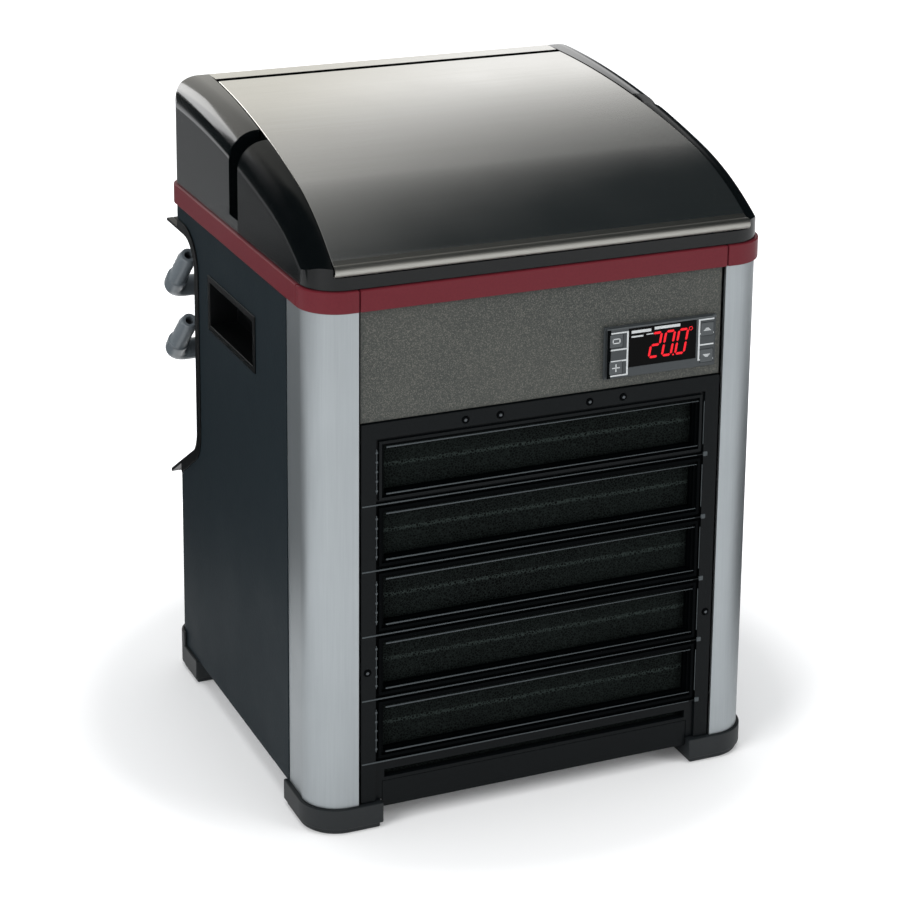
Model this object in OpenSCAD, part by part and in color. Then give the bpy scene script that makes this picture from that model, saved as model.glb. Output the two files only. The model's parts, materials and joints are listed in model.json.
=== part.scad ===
// Cabinet chiller for an aquarium, with a hinged top lid and a pull-out front filter.
// Millimetres, +Z up, the front faces -Y, and the origin is under the middle of the whole unit.
// Modules are written with Y counted from the front of the trim band, and placed() centres them.

/* [Case] */
// Width across the side panels
case_w = 290; // [270:1:330]
// Depth from the front of the trim band to its back
case_d = 264; // [255:1:310]
// Height of the lower edge of the panels above the floor
base_z = 16; // [12:1:26]
// Height of the underside of the trim band above the floor
band_z = 322; // [318:1:380]
// Height of the trim band
band_h = 13; // [9:0.5:18]
// How far the trim band and the feet stand proud of the panels
band_proud = 2; // [1:0.5:4]
// Thickness of the trim band, front to back
band_t = 5; // [4:0.5:7]
// Joint between two lengths of trim band
band_joint = 0.6; // [0.2:0.1:1.2]
// Radius of the front corners of the columns in plan
corner_r = 22; // [14:1:28]
// Radius of the rear corners of the side panels in plan
rear_r = 14; // [8:1:18]
// Thickness of the sheet-metal panels
sheet_t = 1.5; // [1:0.1:2.5]
// Wall of the extruded corner columns
column_t = 2.4; // [1.8:0.1:4]
// Width of a column across the front
column_w = 28; // [24:1:36]
// Depth of a column along the side
column_d = 44; // [34:1:54]
// How far the column's side lip sits back from its face
column_step = 0.6; // [0.3:0.1:1]

/* [Lid] */
// Height of the lid's highest point above the deck
lid_rise = 67.3; // [58:0.1:80]
// Height of the lid's front edge above the deck
lid_front_h = 12; // [10:0.1:14]
// Radius of the long top arc, seen from the side
lid_top_r = 825; // [700:5:1200]
// Distance behind the front at which the two arcs meet
lid_join_y = 73; // [60:1:85]
// Radius of the rounded shoulders over the cheeks
shoulder_r = 18; // [12:1:22]
// Wall of the lid and rear cover mouldings
lid_t = 3; // [2.5:0.1:4]
// Thickness of the metal skin
skin_t = 1.2; // [0.8:0.1:1.6]
// Distance behind the front at which the lid's cheeks end
cheek_d = 129; // [110:1:140]
// Width of the gap between the cheeks and the rear towers
slot_w = 16; // [10:1:24]
// Height of the sill that closes the bottom of that gap
sill_h = 8; // [4:0.5:12]
// Depth of the strip along the back of the rear cover
strip_d = 8; // [6:0.5:12]
// Rounding of the rear cover's back edge
cover_round = 7; // [4:0.5:8]
// Gap between the metal skin and the strip behind it
skin_gap = 6; // [5:0.5:8]
// Radius of the rolled edge along the front of the skin
lip_r = 2.6; // [2:0.1:3.5]
// Radius of the hinge pins
hinge_pin_r = 2; // [1.5:0.1:2.5]
// Length of one hinge pin
hinge_pin_l = 22; // [16:1:30]

/* [Front] */
// Height of the joint between the front fascia and the filter frame
fascia_z = 254.2; // [250:0.2:262]
// Thickness of the fascia plate
fascia_t = 2; // [1.5:0.1:3]
// Distance between louvre openings, centre to centre
louvre_pitch = 40.6; // [38:0.1:41]
// Clear height of a louvre opening
louvre_h = 27.4; // [24:0.2:30]
// Number of full-height louvre openings
louvre_count = 5; // [3:1:5]
// Thickness of the filter frame, front to back
frame_t = 12; // [10:0.5:15]
// Thickness of the filter pad behind the louvres
pad_t = 5; // [3:0.5:7]
// Height of the rail under the filter frame
rail_h = 16.7; // [14:0.1:18]

/* [Controller] */
// Width of the temperature controller's bezel
bezel_w = 74; // [60:1:84]
// Height of the temperature controller's bezel
bezel_h = 32; // [26:1:38]
// How far the bezel stands out of the fascia
bezel_out = 3.6; // [2:0.2:5]
// Depth of the controller's body behind the fascia
controller_d = 54; // [40:1:60]
// Height of one digit
digit_h = 14.6; // [10:0.2:18]
// Travel of one key
key_travel = 0.6; // [0.3:0.1:1]

/* [Handles and rear] */
// Length of a hand hold
grip_l = 84; // [70:1:96]
// Height of a hand hold
grip_h = 31; // [26:1:36]
// Depth of a hand hold
grip_d = 20; // [15:0.5:24]
// Depth of the bay for the hoses
bay_d = 50; // [44:1:54]
// Height of the bay's ceiling above the floor
bay_top_z = 307; // [300:1:312]
// Height of the bay's sloping floor where it meets the back plane
bay_low_z = 142; // [130:1:170]
// How far the connection housing and the whole unit reach behind the trim band
rear_reach = 36; // [32:1:50]
// Distance between the two hose connections
port_pitch = 44; // [38:1:50]
// Radius of an elbow's body
elbow_r = 7.2; // [6:0.2:8.4]
// Length of a hose tail, from the elbow's centre
tail_l = 48; // [40:1:52]
// Lean of the hose tails towards the front, in degrees
tail_lean = 48; // [44:1:52]
// Radius of the hole through the cord gland
gland_bore_r = 3.8; // [3:0.1:5]

/* [Cooling parts] */
// Thickness of the condenser, front to back
condenser_t = 32; // [24:1:36]
// Radius of the condenser tube
tube_r = 4; // [3:0.2:5]
// Number of straight runs in the condenser tube
tube_runs = 9; // [5:2:9]
// Number of condenser fins
fin_count = 31; // [15:1:41]
// Radius of the fan over its blade tips
fan_r = 88; // [70:1:92]
// Number of fan blades
blade_count = 7; // [5:1:9]
// Radius of the fan motor
motor_r = 30; // [24:1:34]
// Length of the fan motor
motor_l = 38; // [30:1:42]
// Radius of the compressor's shell
compressor_r = 47; // [40:1:50]
// Height of the compressor's shell
compressor_h = 132; // [110:1:150]
// Radius of the heat exchanger's vessel
vessel_r = 42; // [36:1:44]
// Height of the heat exchanger's vessel
vessel_h = 216; // [180:1:222]
// Radius of the cooling coil's tube
coil_tube_r = 3.2; // [2.5:0.1:4]
// Number of loops in the cooling coil
coil_loops = 9; // [5:1:11]
// Radius of a water hose
hose_r = 6; // [5:0.5:7]
// Radius of a refrigerant pipe
pipe_r = 3; // [2.5:0.1:3.5]

/* [Hidden] */
$fn = 48;
// Overrun of every cut
over = 1;
// Clearance between fixed parts that lie side by side
seat = 0.2;
// Clearance between parts that move past one another
run_gap = 0.4;
// Radial clearance of a shaft in its bore
fit_gap = 0.05;

total_d = case_d + rear_reach;
half_w = case_w / 2;
front_y = band_proud;
rear_y = case_d - band_proud;
deck_z = band_z + band_h;
side_in = half_w - sheet_t;
column_x = half_w - column_w;
column_back = front_y + column_d;

// Front frame and the stack behind it
frame_y = front_y + 0.5 * sheet_t;
frame_back = frame_y + frame_t;
plate_y = frame_back + run_gap;
plate_back = plate_y + sheet_t;
plate_half = half_w - corner_r - seat
    + sqrt(pow(corner_r - column_t, 2) - pow(front_y + corner_r - plate_y, 2));
tray_t = 2 * sheet_t;
tray_top = base_z + tray_t;
tray_lip_h = 10;
core_side = 17;
core_lift = 11;
core_drop = 16;
core_gap = 5.5;
frame_lap = 2;
core_half = column_x - core_side;
core_low = tray_top + core_lift;
core_high = fascia_z - core_drop;
core_mid = (core_low + core_high) / 2;
core_y = plate_back + core_gap;
core_back = core_y + condenser_t;

// Lid profile: a long top arc that runs smoothly into a nose arc through the front edge
lid_top_z = deck_z + lid_rise;
top_c = [rear_y, lid_top_z - lid_top_r];
join_p = [lid_join_y, top_c[1] + sqrt(pow(lid_top_r, 2) - pow(lid_join_y - top_c[0], 2))];
join_n = (join_p - top_c) / lid_top_r;
nose_chord = [front_y, deck_z + lid_front_h] - join_p;
lid_nose_r = -(nose_chord * nose_chord) / (2 * (join_n * nose_chord));
nose_c = join_p - lid_nose_r * join_n;
function arc_z(c, r, y) = c[1] + sqrt(pow(r, 2) - pow(y - c[0], 2));
function lid_z(y) = y > lid_join_y ? arc_z(top_c, lid_top_r, y) : arc_z(nose_c, lid_nose_r, y);
lid_base = deck_z + run_gap;
tongue_half = half_w - shoulder_r - 2 * seat;
hinge_play = 1;
tower_half = tongue_half + hinge_play;
tower_y = cheek_d + slot_w;
strip_y = rear_y - strip_d;
skin_rear = strip_y - skin_gap;
skin_half = tongue_half;
crown_rows = 24;
barrel_r = 2 * hinge_pin_r;
hinge_y = skin_rear - barrel_r / 2;
hinge_z = lid_z(hinge_y) - skin_t - barrel_r;

// Louvres, counted up from the bottom
bar_h = louvre_pitch - louvre_h;
head_h = 16.2;
open_top = fascia_z - head_h;
open_half = core_half;
rim_out = 4.4;
rim_w = 1.8;
rim_step = 2.4;
frame_side = 1.6;
frame_seam = 0.5;
rail_drop = 5;
rail_lap = 1.3;
pad_lap = 3;
frame_half = column_x - frame_side;
frame_top = fascia_z - frame_seam;
rail_low = base_z - rail_drop;
rail_top = rail_low + rail_h;
rail_half = core_half + rail_lap;
frame_low = base_z + run_gap;
pad_half = open_half + pad_lap;
pad_low = rail_top + seat;
pad_top = open_top + pad_lap;
clip_r = 2.2;
clip_out = 0.6;

// Controller on the fascia
fascia_sink = 1.5;
bezel_side = 3.9;
bezel_rise = 6.5;
bezel_lap = 3;
bezel_play = 1;
fascia_y = frame_y + fascia_sink;
bezel_x = frame_half - bezel_side - bezel_w;
bezel_z = fascia_z + bezel_rise;
body_w = bezel_w - bezel_lap;
body_h = bezel_h - bezel_lap;
window_w_share = 0.61;
window_h_share = 0.75;
window_x_share = 0.2;
window_z_share = 0.2;
window_t = 1;
window_x = bezel_x + bezel_w * window_x_share;
window_z = bezel_z + bezel_h * window_z_share;
window_w = bezel_w * window_w_share;
window_h = bezel_h * window_h_share;
bezel_face = fascia_y - bezel_out;
digit_w = digit_h * 0.4;
digit_t = 0.3;
stroke = digit_h * 0.12;
slant_share = 0.17;
key_w = 8.5;
key_h = 8;
key_stem_r = 1.5;
key_stem_l = 8;
key_side_share = 0.035;
key_low_share = 0.1;
key_high_share = 0.62;

// Hand holds, hose bay and rear connections
cup_t = 1.6;
cup_flange = 2.4;
cup_flange_t = 0.8;
bay_y = rear_y - bay_d;
grip_gap = 27;
grip_drop = 63;
grip_y = bay_y - grip_gap - grip_l;
grip_z = band_z - grip_drop;
bay_t = 3;
bay_r = 22;
bay_lip = 8;
bay_turn_z = bay_low_z + (bay_d - bay_r * (1 - cos(45))) * tan(45) - bay_r * (1 - sin(45));
trim_w = 5;
trim_t = 1.1;
trim_edge = 2;
housing_w = 76;
housing_t = 2.5;
housing_top = bay_top_z - bay_r - over;
housing_drop = 18;
port_back = 20;
port_drop = 51;
arm_l = 27.8;
port_y = total_d - port_back;
port_z = bay_top_z - port_drop;
elbow_x = -half_w + elbow_r - band_proud;
housing_x = elbow_x + arm_l;
union_wall = 3;
union_bore_r = elbow_r * 0.62;
union_r = elbow_r + union_wall;
union_t = 6;
gland_side = 53;
gland_drop = 35;
gland_x = half_w - gland_side;
gland_z = bay_top_z - gland_drop;
gland_l = 16;
gland_r = 9;

// Fan, motor, compressor and exchanger
shroud_t = 2;
tip_gap = 4;
shroud_y = core_back + run_gap;
shroud_r = fan_r + tip_gap;
shroud_ring_t = 2.4;
shroud_ring_l = 25;
shroud_lap = 10;
shroud_half = core_half + shroud_lap;
bracket_t = 3;
bracket_y = shroud_y + shroud_ring_l + seat;
blade_gap = 4;
blade_y = shroud_y + shroud_t + blade_gap;
blade_l = 17;
hub_r = 24;
hub_gap = 1.5;
hub_l = bracket_y - blade_y - hub_gap;
motor_y = bracket_y + bracket_t + seat;
shaft_r = 3;
shaft_in = 12;
compressor_side = 14;
compressor_back = 13;
compressor_lift = 15;
compressor_x = half_w - compressor_side - compressor_r;
compressor_y = bay_y - compressor_back - compressor_r;
compressor_z = tray_top + compressor_lift;
suction_h = 6;
seam_out = 1;
pipe_wall = 1;
foot_plate_t = 3;
mount_x_share = 0.92;
mount_y_share = 0.8;
rubber_r = 8;
vessel_side = 19;
vessel_back = 18;
vessel_x = vessel_side + vessel_r - half_w;
vessel_y = bay_y - vessel_back - vessel_r;
vessel_t = 4;
vessel_top = tray_top + vessel_h;
stub_out = 2;
stub_wall = 2;
stub_low_h = 40;
stub_drop = 15;
stub_l = vessel_r + stub_out;
outlet_dx = -8;
inlet_dx = 12;
stub_low_z = tray_top + stub_low_h;
stub_high_z = vessel_top - stub_drop;
cap_h = 16;
cap_step = 8;
cap_lap = 2;
cap_r = vessel_r - cap_step;
cap_top = vessel_top + seat + cap_h;
coil_side = 14;
coil_lift = 30;
coil_r = vessel_r - coil_side;
coil_low = tray_top + coil_lift;
coil_pitch = (vessel_h - 2 * coil_lift) / coil_loops;
drier_r = 9;
drier_h = 80;
drier_x = 0;
drier_back = 14;
drier_lift = 42;
drier_y = bay_y - drier_back;
drier_z = tray_top + drier_lift;
box_side = 31;
box_back = 12;
box_w = 88;
box_d = 88;
box_x = half_w - box_side - box_w;
box_y = bay_y - box_back - box_d;
box_h = 62;
box_t = 2;

module placed() {
    translate([0, -total_d / 2, 0]) children();
}

module block(x0, x1, y0, y1, z0, z1) {
    translate([x0, y0, z0]) cube([x1 - x0, y1 - y0, z1 - z0]);
}

// Carries a flat shape drawn in (Y, Z) from x0 to x1
module along_x(x0, x1) {
    translate([x0, 0, 0]) rotate([90, 0, 90]) linear_extrude(x1 - x0) children();
}

// Carries a flat shape drawn in (X, Z) from y0 to y1
module along_y(y0, y1) {
    translate([0, y1, 0]) rotate([90, 0, 0]) linear_extrude(y1 - y0) children();
}

// Carries a flat shape drawn in (X, Y) from z0 to z1
module along_z(z0, z1) {
    translate([0, 0, z0]) linear_extrude(z1 - z0) children();
}

// The case's outline in plan, drawn in by a given amount
module plan(inset) {
    w = half_w - inset;
    y0 = front_y + inset;
    y1 = rear_y - inset;
    rf = corner_r - inset;
    rr = rear_r - inset;
    translate([-w, y0 + rf]) square([2 * w, y1 - y0 - rf - rr]);
    translate([-w + rf, y0]) square([2 * (w - rf), rf + over]);
    translate([-w + rr, y1 - rr - over]) square([2 * (w - rr), rr + over]);
    for (s = [-1, 1]) {
        translate([s * (w - rf), y0 + rf]) circle(rf);
        translate([s * (w - rr), y1 - rr]) circle(rr);
    }
}

module plan_ring(inset, t) {
    difference() {
        plan(inset);
        plan(inset + t);
    }
}

// Half of the plan that lies on one side and between two distances from the front
module side_zone(s, x0, x1, y0, y1) {
    translate([s > 0 ? x0 : -x1, y0]) square([x1 - x0, y1 - y0]);
}

function arc_points(c, r, a0, a1, n) =
    [for (i = [0 : n]) c + r * [cos(a0 + (a1 - a0) * i / n), sin(a0 + (a1 - a0) * i / n)]];

// Outline of the scallop in (Y, Z), grown by g into the case
function scallop(g) = concat(
    [[rear_y + 2 * bay_lip, bay_low_z - 2 * bay_lip - g / sin(45)]],
    [[rear_y + 2 * bay_lip, bay_top_z + g]],
    arc_points([bay_y + bay_r, bay_top_z - bay_r], bay_r + g, 90, 180, 8),
    arc_points([bay_y + bay_r, bay_turn_z], bay_r + g, 180, 225, 5)
);

module rod(a, b, r) {
    v = b - a;
    translate(a)
        rotate([0, acos(v[2] / norm(v)), atan2(v[1], v[0])])
            cylinder(h = norm(v), r = r);
}

// How much wider than a tube its knuckles are
knuckle_share = 1.04;

// A bent tube: straight runs with round knuckles between them
module tube(points, r) {
    for (i = [0 : len(points) - 2]) rod(points[i], points[i + 1], r);
    for (i = [1 : 1 : len(points) - 2]) translate(points[i]) sphere(r * knuckle_share);
}

module base_tray() {
    color("#2b2b2d") {
        difference() {
            union() {
                along_z(base_z, tray_top) tray_plan(0);
                along_z(base_z, tray_top + tray_lip_h) difference() {
                    tray_plan(0);
                    tray_plan(sheet_t);
                }
            }
            for (x = [-core_half, core_half], y = [rear_y / 3, rear_y * 2 / 3])
                translate([x, y, base_z - over]) cylinder(h = tray_t + 2 * over, r = tray_t);
        }
    }
}

module tray_plan(inset) {
    intersection() {
        plan(column_t + seat + inset);
        translate([-half_w, plate_y + inset])
            square([case_w, rear_y - plate_y - 2 * sheet_t - 2 * inset]);
    }
}

module front_frame() {
    color("#3a3a3c") along_y(plate_y, plate_back) difference() {
        translate([-plate_half, tray_top + tray_lip_h + seat])
            square([2 * plate_half, band_z - tray_top - tray_lip_h - 2 * seat]);
        translate([-core_half, core_low + frame_lap])
            square([2 * core_half, core_high - core_low - 2 * frame_lap]);
        translate([bezel_x + bezel_play, bezel_z + bezel_play])
            square([bezel_w - 2 * bezel_play, bezel_h - 2 * bezel_play]);
    }
}

// s is -1 for the left column and 1 for the right one
module column(s) {
    color("#c9cbcc") along_z(base_z, band_z) {
        intersection() {
            plan_ring(0, column_t);
            side_zone(s, column_x, half_w + over, front_y - over, front_y + corner_r);
        }
        intersection() {
            plan_ring(column_step, column_t - column_step);
            side_zone(s, column_x, half_w + over, front_y + corner_r - over, column_back);
        }
    }
}

module column_left() column(-1);
module column_right() column(1);

module side_panel(s) {
    color("#2e3138") difference() {
        along_z(base_z, band_z) intersection() {
            plan_ring(0, sheet_t);
            side_zone(s, half_w - column_t * 6, half_w + over, column_back + seat, rear_y + over);
        }
        along_x(s > 0 ? 0 : -half_w - over, s > 0 ? half_w + over : 0) polygon(scallop(0));
        grip_hole(s, 0);
    }
}

module side_panel_left() side_panel(-1);
module side_panel_right() side_panel(1);

// The hand hold's cut-out through a side panel
module grip_hole(s, g) {
    block(
        s > 0 ? side_in - over : -half_w - over, s > 0 ? half_w + over : -side_in + over,
        grip_y - g, grip_y + grip_l + g, grip_z - g, grip_z + grip_h + g
    );
}

module grip_cup(s) {
    out = half_w + cup_flange_t;
    back = out - grip_d;
    color("#141416") difference() {
        union() {
            block(s > 0 ? half_w + seat / 2 : -out, s > 0 ? out : -half_w - seat / 2,
                grip_y - cup_flange, grip_y + grip_l + cup_flange,
                grip_z - cup_flange, grip_z + grip_h + cup_flange);
            block(s > 0 ? back : -half_w - seat, s > 0 ? half_w + seat : -back,
                grip_y + seat, grip_y + grip_l - seat, grip_z + seat, grip_z + grip_h - seat);
        }
        block(s > 0 ? back + cup_t : -out - over, s > 0 ? out + over : -back - cup_t,
            grip_y + cup_t, grip_y + grip_l - cup_t, grip_z + cup_t, grip_z + grip_h - cup_t);
    }
}

module grip_cup_left() grip_cup(-1);
module grip_cup_right() grip_cup(1);

module rear_panel() {
    panel_half = half_w - column_t * 6 - seat;
    panel_top = bay_low_z - bay_lip;
    slot_l = panel_half * 0.7;
    slot_h = 4;
    slot_rows = 7;
    slot_step = (panel_top - base_z) * 0.09;
    color("#2e3138") along_y(rear_y - sheet_t, rear_y) difference() {
        translate([-panel_half, base_z]) square([2 * panel_half, panel_top - base_z]);
        for (s = [-1, 1], i = [0 : slot_rows - 1])
            translate([s * panel_half / 2 - slot_l / 2, base_z + slot_step * (i + 2)])
                square([slot_l, slot_h]);
    }
}

module top_deck() {
    deck_t = band_h / 2;
    color("#1b1b1d") difference() {
        along_z(deck_z - deck_t, deck_z) plan(band_t - band_proud);
        block(vessel_x - vessel_r / 2, -vessel_x / 4, vessel_y - cap_r * 2, vessel_y + cap_r,
            deck_z - deck_t - over, deck_z + over);
    }
}

module band(x0, x1, y0, y1, s) {
    color("#6b2b33") along_z(band_z, deck_z) intersection() {
        difference() {
            plan(-band_proud);
            plan(band_t - band_proud);
        }
        side_zone(s, x0, x1, y0, y1);
    }
}

seam = band_joint / 2;
band_back_x = half_w - band_t * 4;
module band_front() {
    band(-column_x + seam, column_x - seam, -over, case_d / 2, 1);
}
module band_corner(s) {
    band(column_x + seam, case_w, -over, front_y + corner_r - seam, s);
}
module band_corner_left() band_corner(-1);
module band_corner_right() band_corner(1);
module band_side(s) {
    band(band_back_x + seam, case_w, front_y + corner_r + seam, case_d + over, s);
}
module band_side_left() band_side(-1);
module band_side_right() band_side(1);
module band_rear() {
    band(-band_back_x + seam, band_back_x - seam, case_d / 2, case_d + over, 1);
}

module front_fascia() {
    color("#3b3c3d") difference() {
        along_y(fascia_y, fascia_y + fascia_t)
            translate([-frame_half, fascia_z]) square([2 * frame_half, band_z - fascia_z]);
        block(bezel_x + (bezel_w - body_w) / 2 - seat, bezel_x + (bezel_w + body_w) / 2 + seat,
            fascia_y - over, fascia_y + fascia_t + over,
            bezel_z + (bezel_h - body_h) / 2 - seat, bezel_z + (bezel_h + body_h) / 2 + seat);
    }
}

module controller_housing() {
    chamfer = bezel_out / 2;
    color("#161618") difference() {
        union() {
            block(bezel_x, bezel_x + bezel_w, fascia_y - bezel_out + chamfer, fascia_y,
                bezel_z, bezel_z + bezel_h);
            block(bezel_x + chamfer, bezel_x + bezel_w - chamfer, bezel_face, fascia_y,
                bezel_z + chamfer / 2, bezel_z + bezel_h - chamfer / 2);
            block(bezel_x + (bezel_w - body_w) / 2, bezel_x + (bezel_w + body_w) / 2,
                fascia_y - over / 2, fascia_y + controller_d,
                bezel_z + (bezel_h - body_h) / 2, bezel_z + (bezel_h + body_h) / 2);
        }
        block(window_x, window_x + window_w, bezel_face - over, bezel_face + window_t,
            window_z, window_z + window_h);
        for (k = key_places) {
            translate([k[0] - seat, bezel_face - over, k[1] - seat])
                cube([key_w + 2 * seat, over + 2 * key_travel + window_t, key_h + 2 * seat]);
            translate([k[0] + key_w / 2, bezel_face, k[1] + key_h / 2]) rotate([-90, 0, 0])
                cylinder(h = key_stem_l + window_t + key_travel, r = key_stem_r + fit_gap);
        }
    }
}

key_left = bezel_x + bezel_w * key_side_share;
key_right = bezel_x + bezel_w * (1 - key_side_share) - key_w;
key_low = bezel_z + bezel_h * key_low_share;
key_high = bezel_z + bezel_h * key_high_share;
key_places = [[key_left, key_high], [key_left, key_low], [key_right, key_high], [key_right, key_low]];

module key(i) {
    k = key_places[i];
    color("#8e9092") {
        translate([k[0], bezel_face - seat, k[1]]) cube([key_w, window_t + seat, key_h]);
        translate([k[0] + key_w / 2, bezel_face + window_t - seat, k[1] + key_h / 2])
            rotate([-90, 0, 0]) cylinder(h = key_stem_l - window_t, r = key_stem_r);
    }
}

module key_set() key(0);
module key_standby() key(1);
module key_up() key(2);
module key_down() key(3);

module display_window() {
    color("#1a0a0c") block(window_x + seat, window_x + window_w - seat,
        bezel_face - seat / 2, bezel_face + window_t - seat / 2,
        window_z + seat, window_z + window_h - seat);
}

// One bar of a digit, lying flat or standing, leaning with the whole figure
module bar(x, z, l, upright) {
    h = stroke / 2;
    e = l / 2;
    flat = [[-e, 0], [h - e, h], [e - h, h], [e, 0], [e - h, -h], [h - e, -h]];
    function lean(p) = [p[0] + slant_share * p[1], p[1]];
    polygon([for (p = flat) lean(upright ? [x + p[1], z + p[0]] : [x + p[0], z + p[1]])]);
}

// Bars in the order top, upper right, lower right, bottom, lower left, upper left, middle
module digit(bars) {
    l = digit_w - stroke * 0.2;
    v = digit_h / 2 - stroke * 0.2;
    if (bars[0]) bar(digit_w / 2, digit_h, l, false);
    if (bars[1]) bar(digit_w, digit_h * 0.75, v, true);
    if (bars[2]) bar(digit_w, digit_h * 0.25, v, true);
    if (bars[3]) bar(digit_w / 2, 0, l, false);
    if (bars[4]) bar(0, digit_h * 0.25, v, true);
    if (bars[5]) bar(0, digit_h * 0.75, v, true);
    if (bars[6]) bar(digit_w / 2, digit_h / 2, l, false);
}

module display_digits() {
    step = digit_w * 1.5;
    face = bezel_face - seat / 2;
    left = window_x + window_w * 0.3;
    low = window_z + (window_h - digit_h) / 2;
    ring_r = stroke * 0.8;
    two = [1, 1, 0, 1, 1, 0, 1];
    zero = [1, 1, 1, 1, 1, 1, 0];
    color("#ff2a1c") along_y(face - digit_t, face) translate([left, low]) {
        digit(two);
        translate([step, 0]) digit(zero);
        translate([2 * step, 0]) digit(zero);
        translate([step * 1.85, -stroke * 0.2]) circle(stroke * 0.4);
        translate([3 * step + ring_r, digit_h]) difference() {
            circle(ring_r);
            circle(ring_r / 2);
        }
    }
}

louvre_tops = [for (i = [0 : louvre_count - 1]) open_top - i * louvre_pitch];
slit_top = open_top - louvre_count * louvre_pitch;

module filter_frame() {
    face = frame_y + rim_w;
    color("#1d1e20") difference() {
        union() {
            along_y(face, frame_back) frame_outline();
            along_y(frame_y, face) difference() {
                frame_outline();
                for (z = louvre_tops) opening(z, rim_out + rim_w);
                opening(slit_top, rim_out + rim_w);
            }
            along_y(frame_y, face) for (z = louvre_tops) difference() {
                opening(z, rim_out);
                opening(z, rim_out - rim_w);
            }
        }
        for (z = louvre_tops) {
            along_y(frame_y - over, frame_back + over) opening(z, 0);
            along_y(frame_y - over, face + rim_step) opening(z, rim_w / 2);
        }
        block(-open_half, open_half, frame_y - over, frame_back + over,
            rail_top + 3 * seat + rim_w, slit_top);
        block(-rail_half - seat, rail_half + seat, frame_y - over, frame_back + over,
            frame_low - over, rail_top + seat);
        block(-pad_half - seat, pad_half + seat, frame_back - pad_t, frame_back + over,
            pad_low - over, pad_top + seat);
        for (p = clip_places) translate([p[0], frame_y - over, p[1]]) rotate([-90, 0, 0])
            cylinder(h = over + rim_w + seat, r = clip_r + seat);
    }
}

module frame_outline() {
    translate([-frame_half, frame_low]) square([2 * frame_half, frame_top - frame_low]);
}

// A louvre opening whose top edge is at z, grown all round by g
module opening(z, g) {
    translate([-open_half - g, max(z - louvre_h - g, frame_low - over)])
        square([2 * (open_half + g), z + g - max(z - louvre_h - g, frame_low - over)]);
}

clip_x_shares = [0.25, 0.44];
clip_z = (open_top + rim_out + frame_top) / 2 + seat;
clip_places = concat(
    [for (s = [-1, 1], k = clip_x_shares) [s * k * frame_half, clip_z]],
    [for (s = [-1, 1]) [s * (frame_half + pad_half + rim_out) / 2, open_top - 3.4 * louvre_pitch]]
);

module filter_clips() {
    color("#6d6e70") for (p = clip_places) translate([p[0], frame_y - clip_out, p[1]])
        rotate([-90, 0, 0]) cylinder(h = clip_out + rim_w + seat, r = clip_r);
}

module filter_pad() {
    color("#16201f") block(-pad_half, pad_half, frame_back - pad_t + seat / 2, frame_back,
        pad_low, pad_top);
}

module bottom_rail() {
    color("#2a2c2f") difference() {
        block(-rail_half, rail_half, frame_y + rim_w, plate_y - seat, rail_low, rail_top);
        block(-rail_half - over, rail_half + over, frame_y + 2 * rim_w, plate_y - rim_w,
            rail_low - over, rail_top - rim_w);
    }
}

// The rounded top of the unit as a closed grid of faces, drawn in by a given amount
module crown(inset) {
    w = half_w - inset;
    y0 = front_y + inset;
    y1 = rear_y - inset;
    r = cover_round;
    low = lid_base - 2 * over;
    rows = concat(
        [y0 - over],
        [for (i = [1 : crown_rows]) y0 + (y1 - r - y0) * i / crown_rows],
        [for (a = [22.5 : 22.5 : 67.5]) y1 - r + r * sin(a)],
        [y1 + over]
    );
    columns = concat(
        [[-w - over, 1]],
        [for (a = [75 : -15 : 0]) [-w + shoulder_r * (1 - sin(a)), 1 - cos(a)]],
        [for (a = [0 : 15 : 75]) [w - shoulder_r * (1 - sin(a)), 1 - cos(a)]],
        [[w + over, 1]]
    );
    nr = len(rows);
    nc = len(columns);
    n = nr * nc;
    tops = [for (y = rows) lid_z(y) - inset - (y > y1 - r ? r - sqrt(max(0, pow(r, 2) - pow(y - y1 + r, 2))) : 0)];
    grid = [for (j = [0 : nr - 1]) let (fall = min(shoulder_r, tops[j] - low - lip_r))
        each [for (c = columns) [c[0], rows[j], tops[j] - fall * c[1]]]];
    floor_points = [[-w, y0, low], [w, y0, low], [w, y1, low], [-w, y1, low]];
    skin = [for (j = [0 : nr - 2], i = [0 : nc - 2]) let (a = j * nc + i)
        each [[a, a + nc, a + nc + 1], [a, a + nc + 1, a + 1]]];
    front = [n, for (i = [0 : nc - 1]) i, n + 1];
    back = [n + 2, for (i = [nc - 1 : -1 : 0]) (nr - 1) * nc + i, n + 3];
    left = [n + 3, for (j = [nr - 1 : -1 : 0]) j * nc, n];
    right = [n + 1, for (j = [0 : nr - 1]) j * nc + nc - 1, n + 2];
    polyhedron(concat(grid, floor_points), concat(skin, [front, back, left, right, [n, n + 1, n + 2, n + 3]]));
}

module rear_cover() {
    bay = 3 * lid_t;
    color("#17181a") difference() {
        union() {
            intersection() {
                crown(0);
                along_z(deck_z, lid_top_z + over) intersection() {
                    plan(0);
                    union() {
                        for (s = [-1, 1]) side_zone(s, tower_half, case_w, tower_y, case_d);
                        side_zone(1, -case_w, case_w, strip_y, case_d);
                    }
                }
            }
            along_z(lid_base, deck_z + sill_h) intersection() {
                plan(0);
                for (s = [-1, 1])
                    side_zone(s, tower_half, case_w, cheek_d + run_gap, tower_y + lid_t);
            }
        }
        intersection() {
            crown(lid_t);
            along_z(deck_z - over, lid_top_z) intersection() {
                plan(lid_t);
                for (s = [-1, 1])
                    side_zone(s, tower_half + lid_t, case_w, tower_y + lid_t, case_d);
            }
        }
        block(-tower_half - lid_t - over, tower_half + lid_t + over, strip_y - over, rear_y - lid_t,
            deck_z - over, lid_z(strip_y) - bay);
        for (s = [-1, 1]) rod(
            [s * (tower_half - over), hinge_y, hinge_z],
            [s * (tower_half + lid_t + over), hinge_y, hinge_z], hinge_pin_r);
    }
}

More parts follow.
